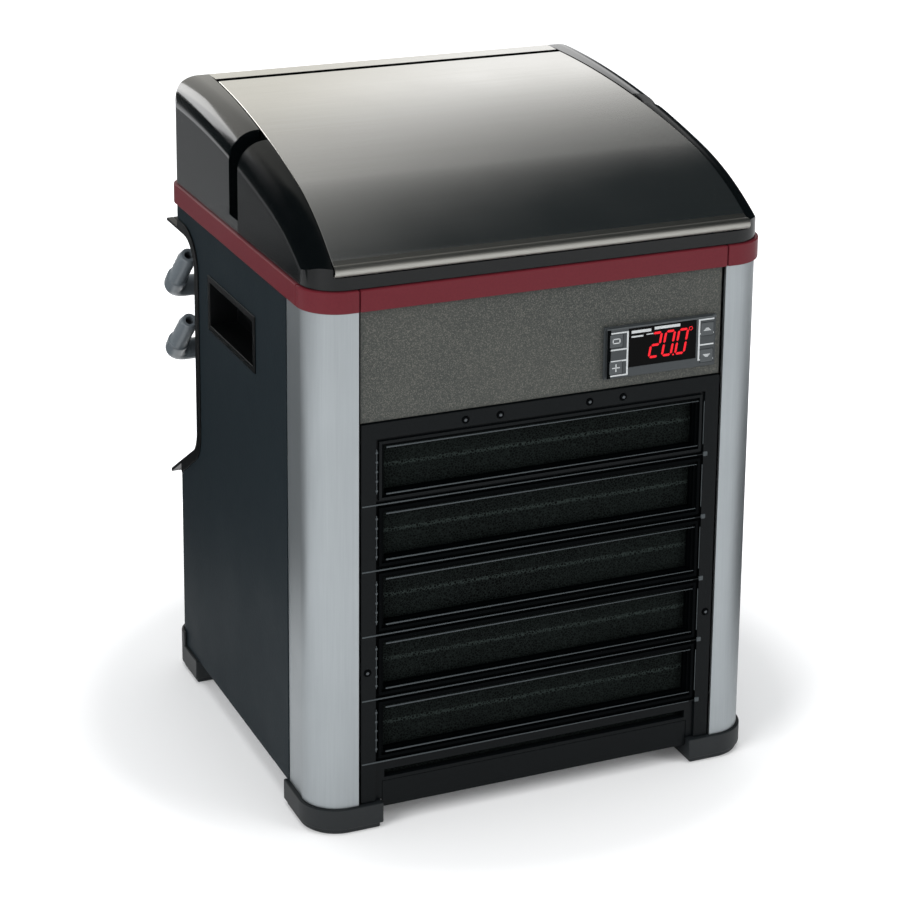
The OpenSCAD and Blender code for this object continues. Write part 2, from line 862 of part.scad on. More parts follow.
module lid_shell() {
    color("#17181a") difference() {
        union() {
            difference() {
                intersection() {
                    crown(0);
                    along_z(lid_base, lid_top_z + over) intersection() {
                        plan(0);
                        lid_zone(0, skin_rear);
                    }
                }
                intersection() {
                    crown(lid_t);
                    along_z(deck_z, lid_top_z) intersection() {
                        plan(lid_t);
                        union() {
                            side_zone(1, -case_w, case_w, 0, cheek_d - lid_t);
                            side_zone(1, -tongue_half - over, tongue_half + over, 0, skin_rear + over);
                        }
                    }
                }
            }
            along_x(-tongue_half, tongue_half) translate([hinge_y, hinge_z]) circle(barrel_r);
        }
        along_x(-skin_half - seat / 2, skin_half + seat / 2)
            polygon(skin_points(-over, skin_t + seat / 4, 0, skin_rear + over));
        along_x(-skin_half - seat / 2, skin_half + seat / 2)
            translate([lip_y, lip_z]) circle(lip_r + seat);
        for (s = [-1, 1]) rod(
            [s * (tongue_half + over), hinge_y, hinge_z],
            [s * (tongue_half - hinge_pin_l), hinge_y, hinge_z], hinge_pin_r + fit_gap);
    }
}

module lid_zone(y0, y1) {
    side_zone(1, -case_w, case_w, y0, cheek_d);
    side_zone(1, -tongue_half, tongue_half, y0, y1);
}

// A band under the lid's profile, from one depth below it to another
function skin_points(d0, d1, y0, y1) = let (
    n = 40,
    ys = [for (i = [0 : n]) y0 + (y1 - y0) * i / n]
) concat(
    [for (y = ys) [y, lid_z(y) - d0]],
    [for (i = [n : -1 : 0]) [ys[i], lid_z(ys[i]) - d1]]
);

lip_y = lip_r;
lip_z = lid_z(lip_r) - lip_r;
module lid_skin() {
    color("#a9aaa8") {
        along_x(-skin_half, skin_half) polygon(skin_points(0, skin_t, lip_y, skin_rear));
        along_x(-skin_half, skin_half) translate([lip_y, lip_z]) circle(lip_r);
    }
}

module hinge_pins() {
    color("#b5b8ba") for (s = [-1, 1]) rod(
        [s * (tower_half + lid_t), hinge_y, hinge_z],
        [s * (tongue_half - hinge_pin_l + over), hinge_y, hinge_z], hinge_pin_r);
}

// A moulded foot under a corner, between two distances from the front
module foot(s, x0, y0, y1, wrap) {
    sole = base_z / 5;
    color("#131315") {
        along_z(sole, base_z) intersection() {
            plan(-band_proud);
            side_zone(s, x0, case_w, y0, y1);
        }
        along_z(0, sole) intersection() {
            plan(sole / 2 - band_proud);
            side_zone(s, x0 + sole / 2, case_w, y0 + sole / 2, y1 - sole / 2);
        }
        if (wrap > 0) along_z(base_z, base_z + wrap) intersection() {
            difference() {
                plan(-band_proud);
                plan(-seat / 2);
            }
            side_zone(s, half_w - wrap, case_w, y1 - 2 * wrap, y1);
        }
    }
}

foot_lap = 15;
foot_reach = 4;
foot_x = column_x - foot_lap;
module foot_front_left() foot(-1, foot_x, -over, column_back + foot_reach, 0);
module foot_front_right() foot(1, foot_x, -over, column_back + foot_reach, 0);
module foot_rear_left() foot(-1, foot_x, case_d - column_d, case_d, base_z * 0.6);
module foot_rear_right() foot(1, foot_x, case_d - column_d, case_d, base_z * 0.6);

module edge_trim(s) {
    inner = side_in - trim_edge;
    outer = half_w + trim_t;
    color("#0e0e10") {
        along_x(s > 0 ? half_w + seat / 4 : -outer, s > 0 ? outer : -half_w - seat / 4)
            intersection() {
                difference() {
                    polygon(scallop(trim_w));
                    polygon(scallop(-trim_edge));
                }
                translate([0, base_z]) square([rear_y - rear_r, band_z - base_z - sheet_t]);
            }
        along_x(s > 0 ? inner : -outer, s > 0 ? outer : -inner) intersection() {
            difference() {
                polygon(scallop(-seat / 4));
                polygon(scallop(-trim_edge));
            }
            translate([0, base_z]) square([rear_y + bay_lip, band_z]);
        }
    }
}

module edge_trim_left() edge_trim(-1);
module edge_trim_right() edge_trim(1);

module rear_bay() {
    w = side_in - seat;
    lip_w = side_in - trim_edge - seat;
    vent_l = 42;
    vent_h = 4;
    color("#1a1b1d") difference() {
        union() {
            intersection() {
                along_x(-w, w) difference() {
                    polygon(scallop(bay_t));
                    polygon(scallop(0));
                }
                along_z(0, band_z) plan(sheet_t + seat);
            }
            along_x(-lip_w, lip_w) intersection() {
                difference() {
                    polygon(scallop(0));
                    polygon(scallop(-bay_t));
                }
                translate([rear_y - 2 * bay_lip, 0]) square([3 * bay_lip, band_z]);
            }
        }
        for (i = [0 : 7], x = [gland_x - 2 * vent_l, gland_x - vent_l / 2])
            block(x, x + vent_l, bay_y - bay_t - over, bay_y + over,
                bay_turn_z + 3 * vent_h * i / 1.5, bay_turn_z + 3 * vent_h * i / 1.5 + vent_h);
        rod([gland_x, bay_y - bay_t - over, gland_z], [gland_x, bay_y + over, gland_z],
            gland_r * 0.75);
        for (h = hose_ends) rod([h[0], bay_y - bay_t - over, h[1]], [h[0], bay_y + over, h[1]],
            hose_r + seat);
    }
}

outlet_x = vessel_x + outlet_dx;
inlet_x = vessel_x + inlet_dx;
hose_ends = [[outlet_x, port_z], [inlet_x, port_z - port_pitch]];

module connection_housing() {
    low = port_z - port_pitch - housing_drop;
    color("#1a1b1d") difference() {
        block(housing_x, housing_x + housing_w, bay_y + seat / 2, total_d, low, housing_top);
        block(housing_x + housing_t, housing_x + housing_w - housing_t,
            bay_y - over, total_d - housing_t, low + housing_t, housing_top - housing_t);
        for (z = [port_z, port_z - port_pitch])
            rod([housing_x - over, port_y, z], [housing_x + housing_t + over, port_y, z],
                union_r * 0.8);
    }
}

union_gap = 0.3;
module port_unions() {
    neck = union_r * 0.8 - seat;
    color("#3c3f42") for (z = [port_z, port_z - port_pitch]) difference() {
        union() {
            rod([housing_x - union_t, port_y, z], [housing_x - seat / 2, port_y, z], union_r);
            rod([housing_x - union_t, port_y, z], [housing_x + housing_t + union_t, port_y, z], neck);
        }
        rod([housing_x - union_t - over, port_y, z], [housing_x - seat, port_y, z],
            union_bore_r + union_gap);
        rod([housing_x - over, port_y, z], [housing_x + housing_t + union_t + over, port_y, z],
            hose_r * 0.7);
    }
}

// How far each step of a hose tail reaches, and its radius, as shares of the tail and the elbow
tail_shares = [[0.3, 0.86], [0.6, 0.72], [1, 0.6]];

// A swivelling elbow: a barrel along X and a stepped hose tail that leans forward
module elbow(z) {
    lean = [0, -sin(tail_lean), cos(tail_lean)];
    c = [elbow_x, port_y, z];
    bore_r = elbow_r * 0.38;
    color("#8b9199") difference() {
        union() {
            translate(c) sphere(elbow_r);
            rod(c, [housing_x - union_t - run_gap, port_y, z], elbow_r);
            rod(c, [housing_x - run_gap, port_y, z], union_bore_r + union_gap - fit_gap);
            for (k = tail_shares) rod(c, c + lean * tail_l * k[0], elbow_r * k[1]);
        }
        rod(c - lean * bore_r, c + lean * (tail_l + over), bore_r);
        rod(c - [bore_r, 0, 0], [housing_x, port_y, z], bore_r);
    }
}

module elbow_outlet() elbow(port_z);
module elbow_inlet() elbow(port_z - port_pitch);

module cord_gland() {
    color("#1e1f21") difference() {
        union() {
            rod([gland_x, bay_y + seat / 2, gland_z], [gland_x, bay_y + gland_l / 3, gland_z], gland_r);
            rod([gland_x, bay_y - bay_t - over, gland_z], [gland_x, bay_y + gland_l, gland_z],
                gland_r * 0.7);
        }
        rod([gland_x, bay_y - bay_t - 2 * over, gland_z],
            [gland_x, bay_y + gland_l + over, gland_z], gland_bore_r);
    }
}

fin_t = 0.6;
end_plate_t = 2;
fin_side = 1;
fin_half = core_half - end_plate_t - fin_side;
run_y = core_y + condenser_t / 2;
round_step = 0.2;
run_pitch = round_step * floor((core_high - core_low - 6 * tube_r) / (tube_runs - 1) / round_step);
run_top = round_step * floor((core_high - 3 * tube_r) / round_step);
function run_z(i) = run_top - i * run_pitch;

module condenser_fins() {
    pitch = 2 * fin_half / (fin_count - 1);
    color("#9aa0a4") along_x_plates(pitch);
    color("#9aa0a4") for (s = [-1, 1]) difference() {
        block(s > 0 ? core_half : -core_half - end_plate_t, s > 0 ? core_half + end_plate_t : -core_half,
            plate_back + seat, core_back, core_low, core_high);
        tube_holes(s * (core_half + end_plate_t / 2));
    }
}

module along_x_plates(pitch) {
    for (i = [0 : fin_count - 1]) difference() {
        x = -fin_half + pitch * i;
        block(x - fin_t / 2, x + fin_t / 2, core_y, core_back, core_low, core_high);
        tube_holes(x);
    }
}

module tube_holes(x) {
    for (i = [0 : tube_runs - 1])
        rod([x - 2 * end_plate_t, run_y, run_z(i)], [x + 2 * end_plate_t, run_y, run_z(i)],
            tube_r + fit_gap);
}

bend_out = 2;
module condenser_tube() {
    bend_x = core_half + end_plate_t + bend_out;
    color("#b4713a") {
        for (i = [0 : tube_runs - 1])
            rod([-bend_x, run_y, run_z(i)], [bend_x, run_y, run_z(i)], tube_r);
        for (i = [0 : tube_runs - 2]) {
            s = i % 2 == 0 ? -1 : 1;
            translate([s * bend_x, run_y, run_z(i) - run_pitch / 2])
                rotate([90, s > 0 ? 90 : -90, 0])
                    rotate_extrude(angle = 180) translate([run_pitch / 2, 0]) circle(tube_r);
        }
    }
}

module fan_shroud() {
    color("#222326") difference() {
        union() {
            block(-shroud_half, shroud_half, shroud_y, shroud_y + shroud_t, tray_top, core_high + tip_gap);
            rod([0, shroud_y, core_mid], [0, shroud_y + shroud_ring_l, core_mid],
                shroud_r + shroud_ring_t);
        }
        rod([0, shroud_y - over, core_mid], [0, shroud_y + shroud_ring_l + over, core_mid], shroud_r);
    }
}

module motor_bracket() {
    arm_w = 9;
    hub_play = 2;
    ring_lap = 4;
    ring_in = hub_r + hub_play;
    ring_out = motor_r + ring_lap;
    color("#4a4c4f") along_y(bracket_y, bracket_y + bracket_t) translate([0, core_mid]) {
        difference() {
            circle(ring_out);
            circle(ring_in);
        }
        difference() {
            circle(shroud_r + shroud_ring_t);
            circle(shroud_r);
        }
        difference() {
            for (a = [90 : 120 : 330]) rotate(a) translate([0, -arm_w / 2])
                square([shroud_r + shroud_ring_t / 2, arm_w]);
            circle((ring_in + ring_out) / 2);
        }
    }
}

module fan_motor() {
    boss_r = hub_r * 0.4;
    boss_l = 4;
    color("#55585c") difference() {
        union() {
            rod([0, motor_y, core_mid], [0, motor_y + motor_l, core_mid], motor_r);
            rod([0, motor_y, core_mid], [0, motor_y + motor_l + boss_l, core_mid], boss_r);
        }
        rod([0, motor_y - over, core_mid], [0, motor_y + shaft_in + over, core_mid],
            shaft_r + fit_gap);
    }
}

module fan_rotor() {
    root_in = 2;
    root = hub_r - root_in;
    blade_t = 2.2;
    blade_pitch = 32;
    color("#2d2f33") {
        rod([0, blade_y - over, core_mid], [0, blade_y - over + hub_l, core_mid], hub_r);
        rod([0, blade_y, core_mid], [0, motor_y + shaft_in, core_mid], shaft_r);
        intersection() {
            for (i = [0 : blade_count - 1]) translate([0, blade_y + blade_l / 2, core_mid])
                rotate([0, i * 360 / blade_count, 0]) rotate([0, 0, blade_pitch])
                    translate([-blade_l * 1.25, -blade_t / 2, root])
                        cube([blade_l * 2.5, blade_t, fan_r]);
            rod([0, blade_y, core_mid], [0, blade_y + blade_l, core_mid], fan_r);
        }
    }
}

module compressor() {
    r = compressor_r;
    h = compressor_h;
    dome_share = 0.22;
    seam_h = 4;
    color("#1c1d20") translate([compressor_x, compressor_y, compressor_z]) {
        rotate_extrude() polygon(concat(
            [[0, 0]],
            [for (a = [0 : 15 : 90]) [r - r * dome_share * (1 - sin(a)), h * dome_share * (1 - cos(a))]],
            [for (a = [90 : -10 : 0]) [r * cos(90 - a), h - r * dome_share * 2 * (1 - sin(90 - a))]],
            [[0, h]]
        ));
        translate([0, 0, h * 0.55]) cylinder(h = seam_h, r = r + seam_out);
        translate([0, 0, h - over]) cylinder(h = suction_h, r = pipe_r + pipe_wall);
    }
}

module compressor_mounts() {
    mx = compressor_r * mount_x_share;
    my = compressor_r * mount_y_share;
    z = compressor_z - foot_plate_t;
    color("#2b2c2e") translate([compressor_x, compressor_y, 0]) {
        difference() {
            block(-mx - rubber_r, mx + rubber_r, -my - rubber_r, my + rubber_r, z,
                compressor_z - seat / 2);
            for (x = [-mx, mx], y = [-my, my])
                translate([x, y, z - over]) cylinder(h = foot_plate_t + 2 * over, r = rubber_r * 0.6);
        }
        for (x = [-mx, mx], y = [-my, my]) translate([x, y, 0]) {
            translate([0, 0, tray_top + seat / 2])
                cylinder(h = z - tray_top - seat, r = rubber_r);
            translate([0, 0, z - seat]) cylinder(h = foot_plate_t * 2, r = rubber_r * 0.6 - seat);
        }
    }
}

module relay_box() {
    w = 34;
    h = 42;
    d = 12;
    y1 = compressor_y - compressor_r * 0.94;
    z0 = compressor_z + compressor_h * 0.2;
    color("#26282b") difference() {
        block(compressor_x - w / 2, compressor_x + w / 2, y1 - d, y1, z0, z0 + h);
        translate([compressor_x, compressor_y, z0 - over])
            cylinder(h = h + 2 * over, r = compressor_r + seat);
    }
}

module exchanger_vessel() {
    color("#c9ccc8") difference() {
        union() {
            translate([vessel_x, vessel_y, tray_top]) cylinder(h = vessel_h, r = vessel_r);
            stub(outlet_x, stub_high_z, hose_r);
            stub(inlet_x, stub_low_z, hose_r);
        }
        translate([vessel_x, vessel_y, tray_top + vessel_t])
            cylinder(h = vessel_h, r = vessel_r - vessel_t);
        stub(outlet_x, stub_high_z, hose_r - stub_wall);
        stub(inlet_x, stub_low_z, hose_r - stub_wall);
    }
}

module stub(x, z, r) {
    rod([x, vessel_y + vessel_r * 0.7, z], [x, vessel_y + stub_l + (r < hose_r ? over : 0), z], r);
}

module exchanger_cap() {
    z = vessel_top + seat;
    color("#2f3134") {
        translate([vessel_x, vessel_y, z]) cylinder(h = cap_h * 0.45, r = vessel_r + cap_lap);
        translate([vessel_x, vessel_y, z]) cylinder(h = cap_h, r = cap_r);
    }
}

// The cooling coil's path: down from the cap, round the helix, in to the middle and up again
coil_steps = 24;
coil_top = coil_low + coil_pitch * coil_loops;
coil_c = [vessel_x, vessel_y, 0];
coil_path = concat(
    [coil_c + [coil_r, 0, vessel_top], coil_c + [coil_r, 0, coil_top + coil_tube_r]],
    [for (i = [0 : coil_loops * coil_steps]) let (a = 360 * i / coil_steps)
        coil_c + [coil_r * cos(a), coil_r * sin(a), coil_top - coil_pitch * i / coil_steps]],
    [for (k = [1 : 6]) let (q = coil_r * (1 - k / 7))
        coil_c + [q * cos(30 * k), q * sin(30 * k), coil_low]],
    [coil_c + [0, -coil_tube_r, coil_low + coil_tube_r], coil_c + [0, -coil_tube_r, vessel_top]]
);
// Least gap of the tube to itself, measured between points half a loop or more apart
coil_gap = min([for (i = [0 : len(coil_path) - 1], j = [i + coil_steps / 2 : 1 : len(coil_path) - 1])
    norm(coil_path[i] - coil_path[j])]) - 2 * coil_tube_r;

// Rings of a round tube swept along a path
function ring(p, t, r, n) = let (
    side = cross(t, abs(t[2]) > 0.9 ? [1, 0, 0] : [0, 0, 1]),
    u = side / norm(side),
    v = cross(u, t)
) [for (k = [0 : n - 1]) p + r * (cos(360 * k / n) * u + sin(360 * k / n) * v)];

module swept(path, r, n) {
    m = len(path);
    tangent = function (i) let (d = path[min(i + 1, m - 1)] - path[max(i - 1, 0)]) d / norm(d);
    points = [for (i = [0 : m - 1]) each ring(path[i], tangent(i), r, n)];
    walls = [for (i = [0 : m - 2], k = [0 : n - 1]) let (
        a = i * n + k, b = i * n + (k + 1) % n
    ) each [[a, b, b + n], [a, b + n, a + n]]];
    caps = [for (k = [1 : n - 2]) each [[0, k + 1, k], [(m - 1) * n, (m - 1) * n + k, (m - 1) * n + k + 1]]];
    polyhedron(points, concat(walls, caps));
}

module cooling_coil() {
    echo(least_gap_of_the_coil_mm = coil_gap);
    color("#8f9296") swept(coil_path, coil_tube_r, 6);
}

module filter_drier() {
    taper = drier_r * 0.8;
    color("#b4713a") translate([drier_x, drier_y, drier_z]) rotate_extrude() polygon([
        [0, 0], [pipe_r + pipe_wall, 0], [drier_r, taper], [drier_r, drier_h - taper],
        [pipe_r + pipe_wall, drier_h], [0, drier_h]
    ]);
}

module refrigerant_pipes() {
    pipe_side = 22;
    pipe_rise = 12;
    pipe_step = 10;
    capillary_rise = 6;
    side_x = core_half + pipe_side;
    top_z = cap_top + pipe_rise;
    hot_z = run_z(0) - run_pitch;
    low_z = run_z(tube_runs - 1);
    coil_end = core_half + end_plate_t + bend_out + seat;
    capillary_r = pipe_r * 0.45;
    color("#b4713a") {
        tube([
            [compressor_x, compressor_y, compressor_z + compressor_h - over + suction_h + seat],
            [compressor_x, compressor_y, hot_z], [side_x, compressor_y, hot_z],
            [side_x, run_y, hot_z], [side_x, run_y, run_z(0)], [coil_end, run_y, run_z(0)]
        ], pipe_r);
        tube([
            [-coil_end, run_y, low_z], [-side_x - pipe_step, run_y, low_z], [-side_x - pipe_step, drier_y, low_z],
            [drier_x, drier_y, low_z], [drier_x, drier_y, drier_z - seat]
        ], pipe_r);
        tube([
            [vessel_x + cap_r * 0.6, vessel_y, cap_top + seat], [vessel_x + cap_r * 0.6, vessel_y, top_z],
            [-pipe_r * 3, compressor_y, top_z], [-pipe_r * 3, compressor_y, compressor_z + compressor_h / 2],
            [compressor_x - compressor_r - seam_out - seat, compressor_y, compressor_z + compressor_h / 2]
        ], pipe_r);
        tube([
            [drier_x, drier_y, drier_z + drier_h + seat], [drier_x, drier_y, top_z + capillary_rise],
            [drier_x, vessel_y + cap_r, top_z + capillary_rise], [vessel_x - cap_r / 2, vessel_y + cap_r, top_z + capillary_rise],
            [vessel_x - cap_r / 2, vessel_y, top_z + capillary_rise], [vessel_x - cap_r / 2, vessel_y, cap_top + seat]
        ], capillary_r);
    }
}

module water_hoses() {
    y0 = vessel_y + stub_l + seat;
    y1 = bay_y - bay_t - hose_r - over;
    x1 = housing_x + housing_t + union_t + seat;
    color("#5b6166") {
        tube([
            [outlet_x, y0, stub_high_z], [outlet_x, y1, stub_high_z], [outlet_x, y1, port_z],
            [outlet_x, port_y, port_z], [x1, port_y, port_z]
        ], hose_r - seat);
        tube([
            [inlet_x, y0, stub_low_z], [inlet_x, y1, stub_low_z], [inlet_x, y1, port_z - port_pitch],
            [inlet_x, port_y, port_z - port_pitch], [x1, port_y, port_z - port_pitch]
        ], hose_r - seat);
    }
}

module control_box() {
    top = deck_z - band_h / 2 - seat;
    color("#303236") difference() {
        block(box_x, box_x + box_w, box_y, box_y + box_d, top - box_h, top);
        block(box_x + box_t, box_x + box_w - box_t, box_y + box_t, box_y + box_d - box_t,
            top - box_h + box_t, top - box_t);
    }
}

placed() base_tray();
placed() front_frame();
placed() column_left();
placed() column_right();
placed() side_panel_left();
placed() side_panel_right();
placed() rear_panel();
placed() top_deck();
placed() band_front();
placed() band_corner_left();
placed() band_corner_right();
placed() band_side_left();
placed() band_side_right();
placed() band_rear();
placed() front_fascia();
placed() controller_housing();
placed() display_window();
placed() display_digits();
placed() key_set();
placed() key_up();
placed() key_down();
placed() key_standby();
placed() filter_frame();
placed() filter_pad();
placed() filter_clips();
placed() bottom_rail();
placed() rear_cover();
placed() lid_shell();
placed() lid_skin();
placed() hinge_pins();
placed() foot_front_left();
placed() foot_front_right();
placed() foot_rear_left();
placed() foot_rear_right();
placed() grip_cup_left();
placed() grip_cup_right();
placed() edge_trim_left();
placed() edge_trim_right();
placed() rear_bay();
placed() connection_housing();
placed() port_unions();
placed() elbow_outlet();
placed() elbow_inlet();
placed() cord_gland();
placed() condenser_fins();
placed() condenser_tube();
placed() fan_shroud();
placed() motor_bracket();
placed() fan_motor();
placed() fan_rotor();
placed() compressor();
placed() compressor_mounts();
placed() relay_box();
placed() exchanger_vessel();
placed() exchanger_cap();
placed() cooling_coil();
placed() filter_drier();
placed() refrigerant_pipes();
placed() water_hoses();
placed() control_box();
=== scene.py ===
"""A cabinet chiller for an aquarium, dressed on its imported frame.

Sizes are millimetres, with Y counted from the front of the trim band as the maker's drawing counts it.
at() turns them into the metres of the scene, whose origin is under the middle of the unit.
"""

import json
import logging
import math
from collections.abc import Callable, Iterable, Sequence
from dataclasses import dataclass, field
from enum import Enum

import bmesh
import bpy
from mathutils import Matrix, Vector


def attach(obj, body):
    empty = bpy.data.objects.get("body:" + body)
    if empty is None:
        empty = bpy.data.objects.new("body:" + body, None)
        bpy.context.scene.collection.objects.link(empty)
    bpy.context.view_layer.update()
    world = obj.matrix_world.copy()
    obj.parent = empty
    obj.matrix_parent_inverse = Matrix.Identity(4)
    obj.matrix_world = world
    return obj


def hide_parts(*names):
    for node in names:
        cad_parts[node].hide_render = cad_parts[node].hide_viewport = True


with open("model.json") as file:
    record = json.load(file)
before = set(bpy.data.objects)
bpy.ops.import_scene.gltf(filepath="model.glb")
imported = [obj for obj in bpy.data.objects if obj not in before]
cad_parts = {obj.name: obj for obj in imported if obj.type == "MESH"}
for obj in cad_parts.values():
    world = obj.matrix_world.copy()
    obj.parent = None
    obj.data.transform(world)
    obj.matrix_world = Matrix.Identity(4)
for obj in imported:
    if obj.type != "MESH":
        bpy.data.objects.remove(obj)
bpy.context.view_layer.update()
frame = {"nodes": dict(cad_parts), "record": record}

log = logging.getLogger("chiller")

MM = 0.001
# Depth of the whole unit, in mm
UNIT_DEPTH = 300.0
# Points closer than this are one point, in mm
WELD = 0.004
# Height of the painted highlight line across the foam in the top opening, and the step to the next one, in mm
FOAM_HIGHLIGHT_LINE = 225.4
FOAM_PITCH = 40.6
# Width of the frame in pixels, and of the camera's sensor in mm
FRAME_PX = 900
SENSOR = 36.0
BODY_OF = {node: body for body, nodes in frame["record"]["behaviour"]["bodies"].items() for node in nodes}


def at(x: float, y: float, z: float) -> Vector:
    """Turns a place on the drawing into scene metres.

    Args:
        x: Distance to the right of the middle, in mm.
        y: Distance behind the front of the trim band, in mm.
        z: Height above the floor, in mm.

    Returns:
        The place in metres.
    """
    return Vector((x, y - UNIT_DEPTH / 2, z)) * MM


# Finishes


class Grain(Enum):
    """How a surface was made, which sets the pattern that its material draws."""

    MOULDED = "moulded"
    PEEL = "peel"
    SPECKLED = "speckled"
    BRUSHED_UP = "brushed_up"
    BRUSHED_ACROSS = "brushed_across"
    CAST = "cast"
    MESH = "mesh"
    CLEAR = "clear"


@dataclass(frozen=True)
class Finish:
    """One finish: what it is made of and how its surface was worked."""

    title: str
    colour: str
    tint: str
    roughness: float
    grain: Grain = Grain.MOULDED
    grain_mm: float = 1.0
    relief_mm: float = 0.02
    wander: float = 0.05
    metallic: float = 0.0
    coat: float = 0.0
    specular: float = 0.5
    glow: str = ""
    glow_strength: float = 0.0


# Injection-moulded gloss ABS: deep black with a soft wave in the reflection and a little haze
GLOSS_BLACK = Finish(
    "gloss_black_abs", "#030506", "#080b0c", 0.2, grain_mm=9.0, relief_mm=0.006, wander=0.04,
    specular=0.28,
)
# The same moulding on the fixed hood, polished further in its tool
GLOSS_HOOD = Finish(
    "gloss_black_hood_abs", "#030506", "#080b0c", 0.15, grain_mm=9.0, relief_mm=0.005, wander=0.03,
    coat=0.7, specular=0.5,
)
# Polished grey metal sheet: almost a mirror, with faint rolling lines along its width
POLISHED_SHEET = Finish(
    "polished_grey_sheet", "#f7f6f2", "#e9e7e1", 0.17, Grain.BRUSHED_ACROSS, 1.2, 0.004, 0.04,
    metallic=1.0,
)
# The same sheet where it is rolled round its front edge, rougher, and darker as painted shade that dims its
# highlight
ROLLED_EDGE_PAINTED_SHADE = Finish(
    "rolled_edge_painted_shade", "#adaca7", "#a3a29c", 0.46, Grain.BRUSHED_ACROSS, 1.2, 0.004, 0.04, metallic=1.0,
)
# Satin anodised aluminium extrusion: a broad soft highlight and fine upright die lines
SATIN_ALUMINIUM = Finish(
    "satin_anodised_aluminium", "#a7acaf", "#9aa0a3", 0.4, Grain.BRUSHED_UP, 0.9, 0.006, 0.06,
    metallic=0.85,
)
# Steel sheet in powder coat: orange peel of about 2 mm under a low sheen
SLATE_POWDER = Finish(
    "slate_powder_coat", "#22292d", "#1c2327", 0.5, Grain.PEEL, 2.2, 0.06, 0.06, specular=0.03,
)
# Powder coat with metallic flake: light points on a dark brown-grey
FLECKED_POWDER = Finish(
    "flecked_powder_coat", "#373a38", "#6b6a63", 0.5, Grain.SPECKLED, 0.45, 0.02, 0.06, specular=0.25,
)
# Satin painted plastic in oxblood red
OXBLOOD_SATIN = Finish(
    "oxblood_satin_plastic", "#66222a", "#581b23", 0.34, grain_mm=1.4, relief_mm=0.015, specular=0.16,
)
# Glass-filled nylon of the filter frame: near black with a dry, finely pitted face
FRAME_NYLON = Finish(
    "black_frame_nylon", "#07090a", "#0c1012", 0.34, grain_mm=1.2, relief_mm=0.02, specular=0.1,
)
# The same nylon, darker, on the bars, the studs' plugs and the controller's side strip: painted shade
NYLON_PAINTED_SHADE = Finish(
    "black_nylon_painted_shade", "#010203", "#030506", 0.6, grain_mm=1.2, relief_mm=0.02, specular=0.03,
)
# Painted highlight along the edges of the bars, ticks and nubs, in lighter nylon
NYLON_PAINTED_HIGHLIGHT = Finish(
    "nylon_edge_painted_highlight", "#33393b", "#41474a", 0.4, grain_mm=1.2, relief_mm=0.01, specular=0.35,
)
# The same nylon as tooled for the handle cups, trims, rear bay and the small black parts inside
TRIM_NYLON = Finish(
    "black_trim_nylon", "#050607", "#0a0b0c", 0.36, grain_mm=1.2, relief_mm=0.015, specular=0.2,
)
# Moulded rubber of the feet
FOOT_RUBBER = Finish(
    "grey_foot_rubber", "#1f2325", "#191c1e", 0.5, grain_mm=1.6, relief_mm=0.03, specular=0.3,
)
# Open filter foam behind the louvres: dark green-black cells, lighter along a painted highlight line in each
# opening
FILTER_FOAM = Finish(
    "green_black_filter_foam", "#020303", "#2a312f", 0.85, Grain.MESH, 1.6, 0.3, 0.1, specular=0.05,
)
# Satin grey of the controller's bezel
BEZEL_GREY = Finish(
    "controller_satin_grey", "#373b3d", "#3d4143", 0.36, grain_mm=0.8, relief_mm=0.006, specular=0.25,
)
# Tinted acrylic over the display
DARK_ACRYLIC = Finish("dark_display_acrylic", "#010101", "#020202", 0.1, Grain.CLEAR, specular=0.06)
# Lit segments of the display
RED_SEGMENTS = Finish(
    "lit_red_segments", "#c01820", "#c81c24", 0.4, Grain.CLEAR, specular=0.1, glow="#c81c28",
    glow_strength=0.8,
)
# Pad-printed marks and brackets on the controller, and the painted reflection on the display's lens
PRINTED_GREY_AND_PAINTED_REFLECTION = Finish("printed_light_grey_and_painted_reflection", "#c4c7c8", "#b6babb", 0.45, Grain.CLEAR)
# Grey silicone of the keys, also the painted highlight along the bezel's upper edge
KEY_SILICONE_AND_EDGE_HIGHLIGHT = Finish(
    "grey_key_silicone_and_edge_highlight", "#44484a", "#4b4f51", 0.45, grain_mm=0.8, relief_mm=0.01, specular=0.3,
)
# Grey moulded hose fittings with a gloss skin
FITTING_GREY = Finish("grey_hose_fitting", "#666d72", "#5b6267", 0.28, grain_mm=2.0, relief_mm=0.01, coat=0.2)
# Zinc-plated steel of the hinge pins and the motor's bracket
ZINC_STEEL = Finish("zinc_plated_steel", "#8f9395", "#7d8286", 0.36, Grain.CAST, 1.4, 0.01, metallic=1.0)
# Blackened zinc of the filter's studs
DARK_ZINC = Finish("blackened_zinc", "#5d6164", "#4f5356", 0.36, Grain.CAST, 1.4, 0.01, metallic=1.0)
# Galvanised steel sheet of the base tray, the front frame and the fan's shroud
GALVANISED = Finish("galvanised_steel", "#9da2a5", "#868c90", 0.42, Grain.CAST, 6.0, 0.01, 0.12, metallic=1.0)
# Rolled aluminium fins of the condenser
FIN_ALUMINIUM = Finish(
    "condenser_fin_aluminium", "#c3c7c9", "#aeb3b5", 0.36, Grain.BRUSHED_UP, 1.0, 0.01, metallic=1.0,
)
# Drawn copper tube, a little tarnished
COPPER_TUBE = Finish("drawn_copper", "#b8734a", "#9a5a3a", 0.3, Grain.CAST, 5.0, 0.01, 0.1, metallic=1.0)
# Titanium of the cooling coil
TITANIUM = Finish("bead_blasted_titanium", "#8f9092", "#7e8083", 0.45, Grain.CAST, 2.0, 0.02, metallic=1.0)
# Black enamel of the compressor's shell and the fan's motor
ENAMEL_BLACK = Finish("compressor_black_enamel", "#121314", "#191a1c", 0.28, Grain.PEEL, 3.0, 0.04, coat=0.3)
# Grey polypropylene of the exchanger
VESSEL_GREY = Finish("exchanger_grey_polypropylene", "#4a4f52", "#43484b", 0.4, grain_mm=1.8, relief_mm=0.02)
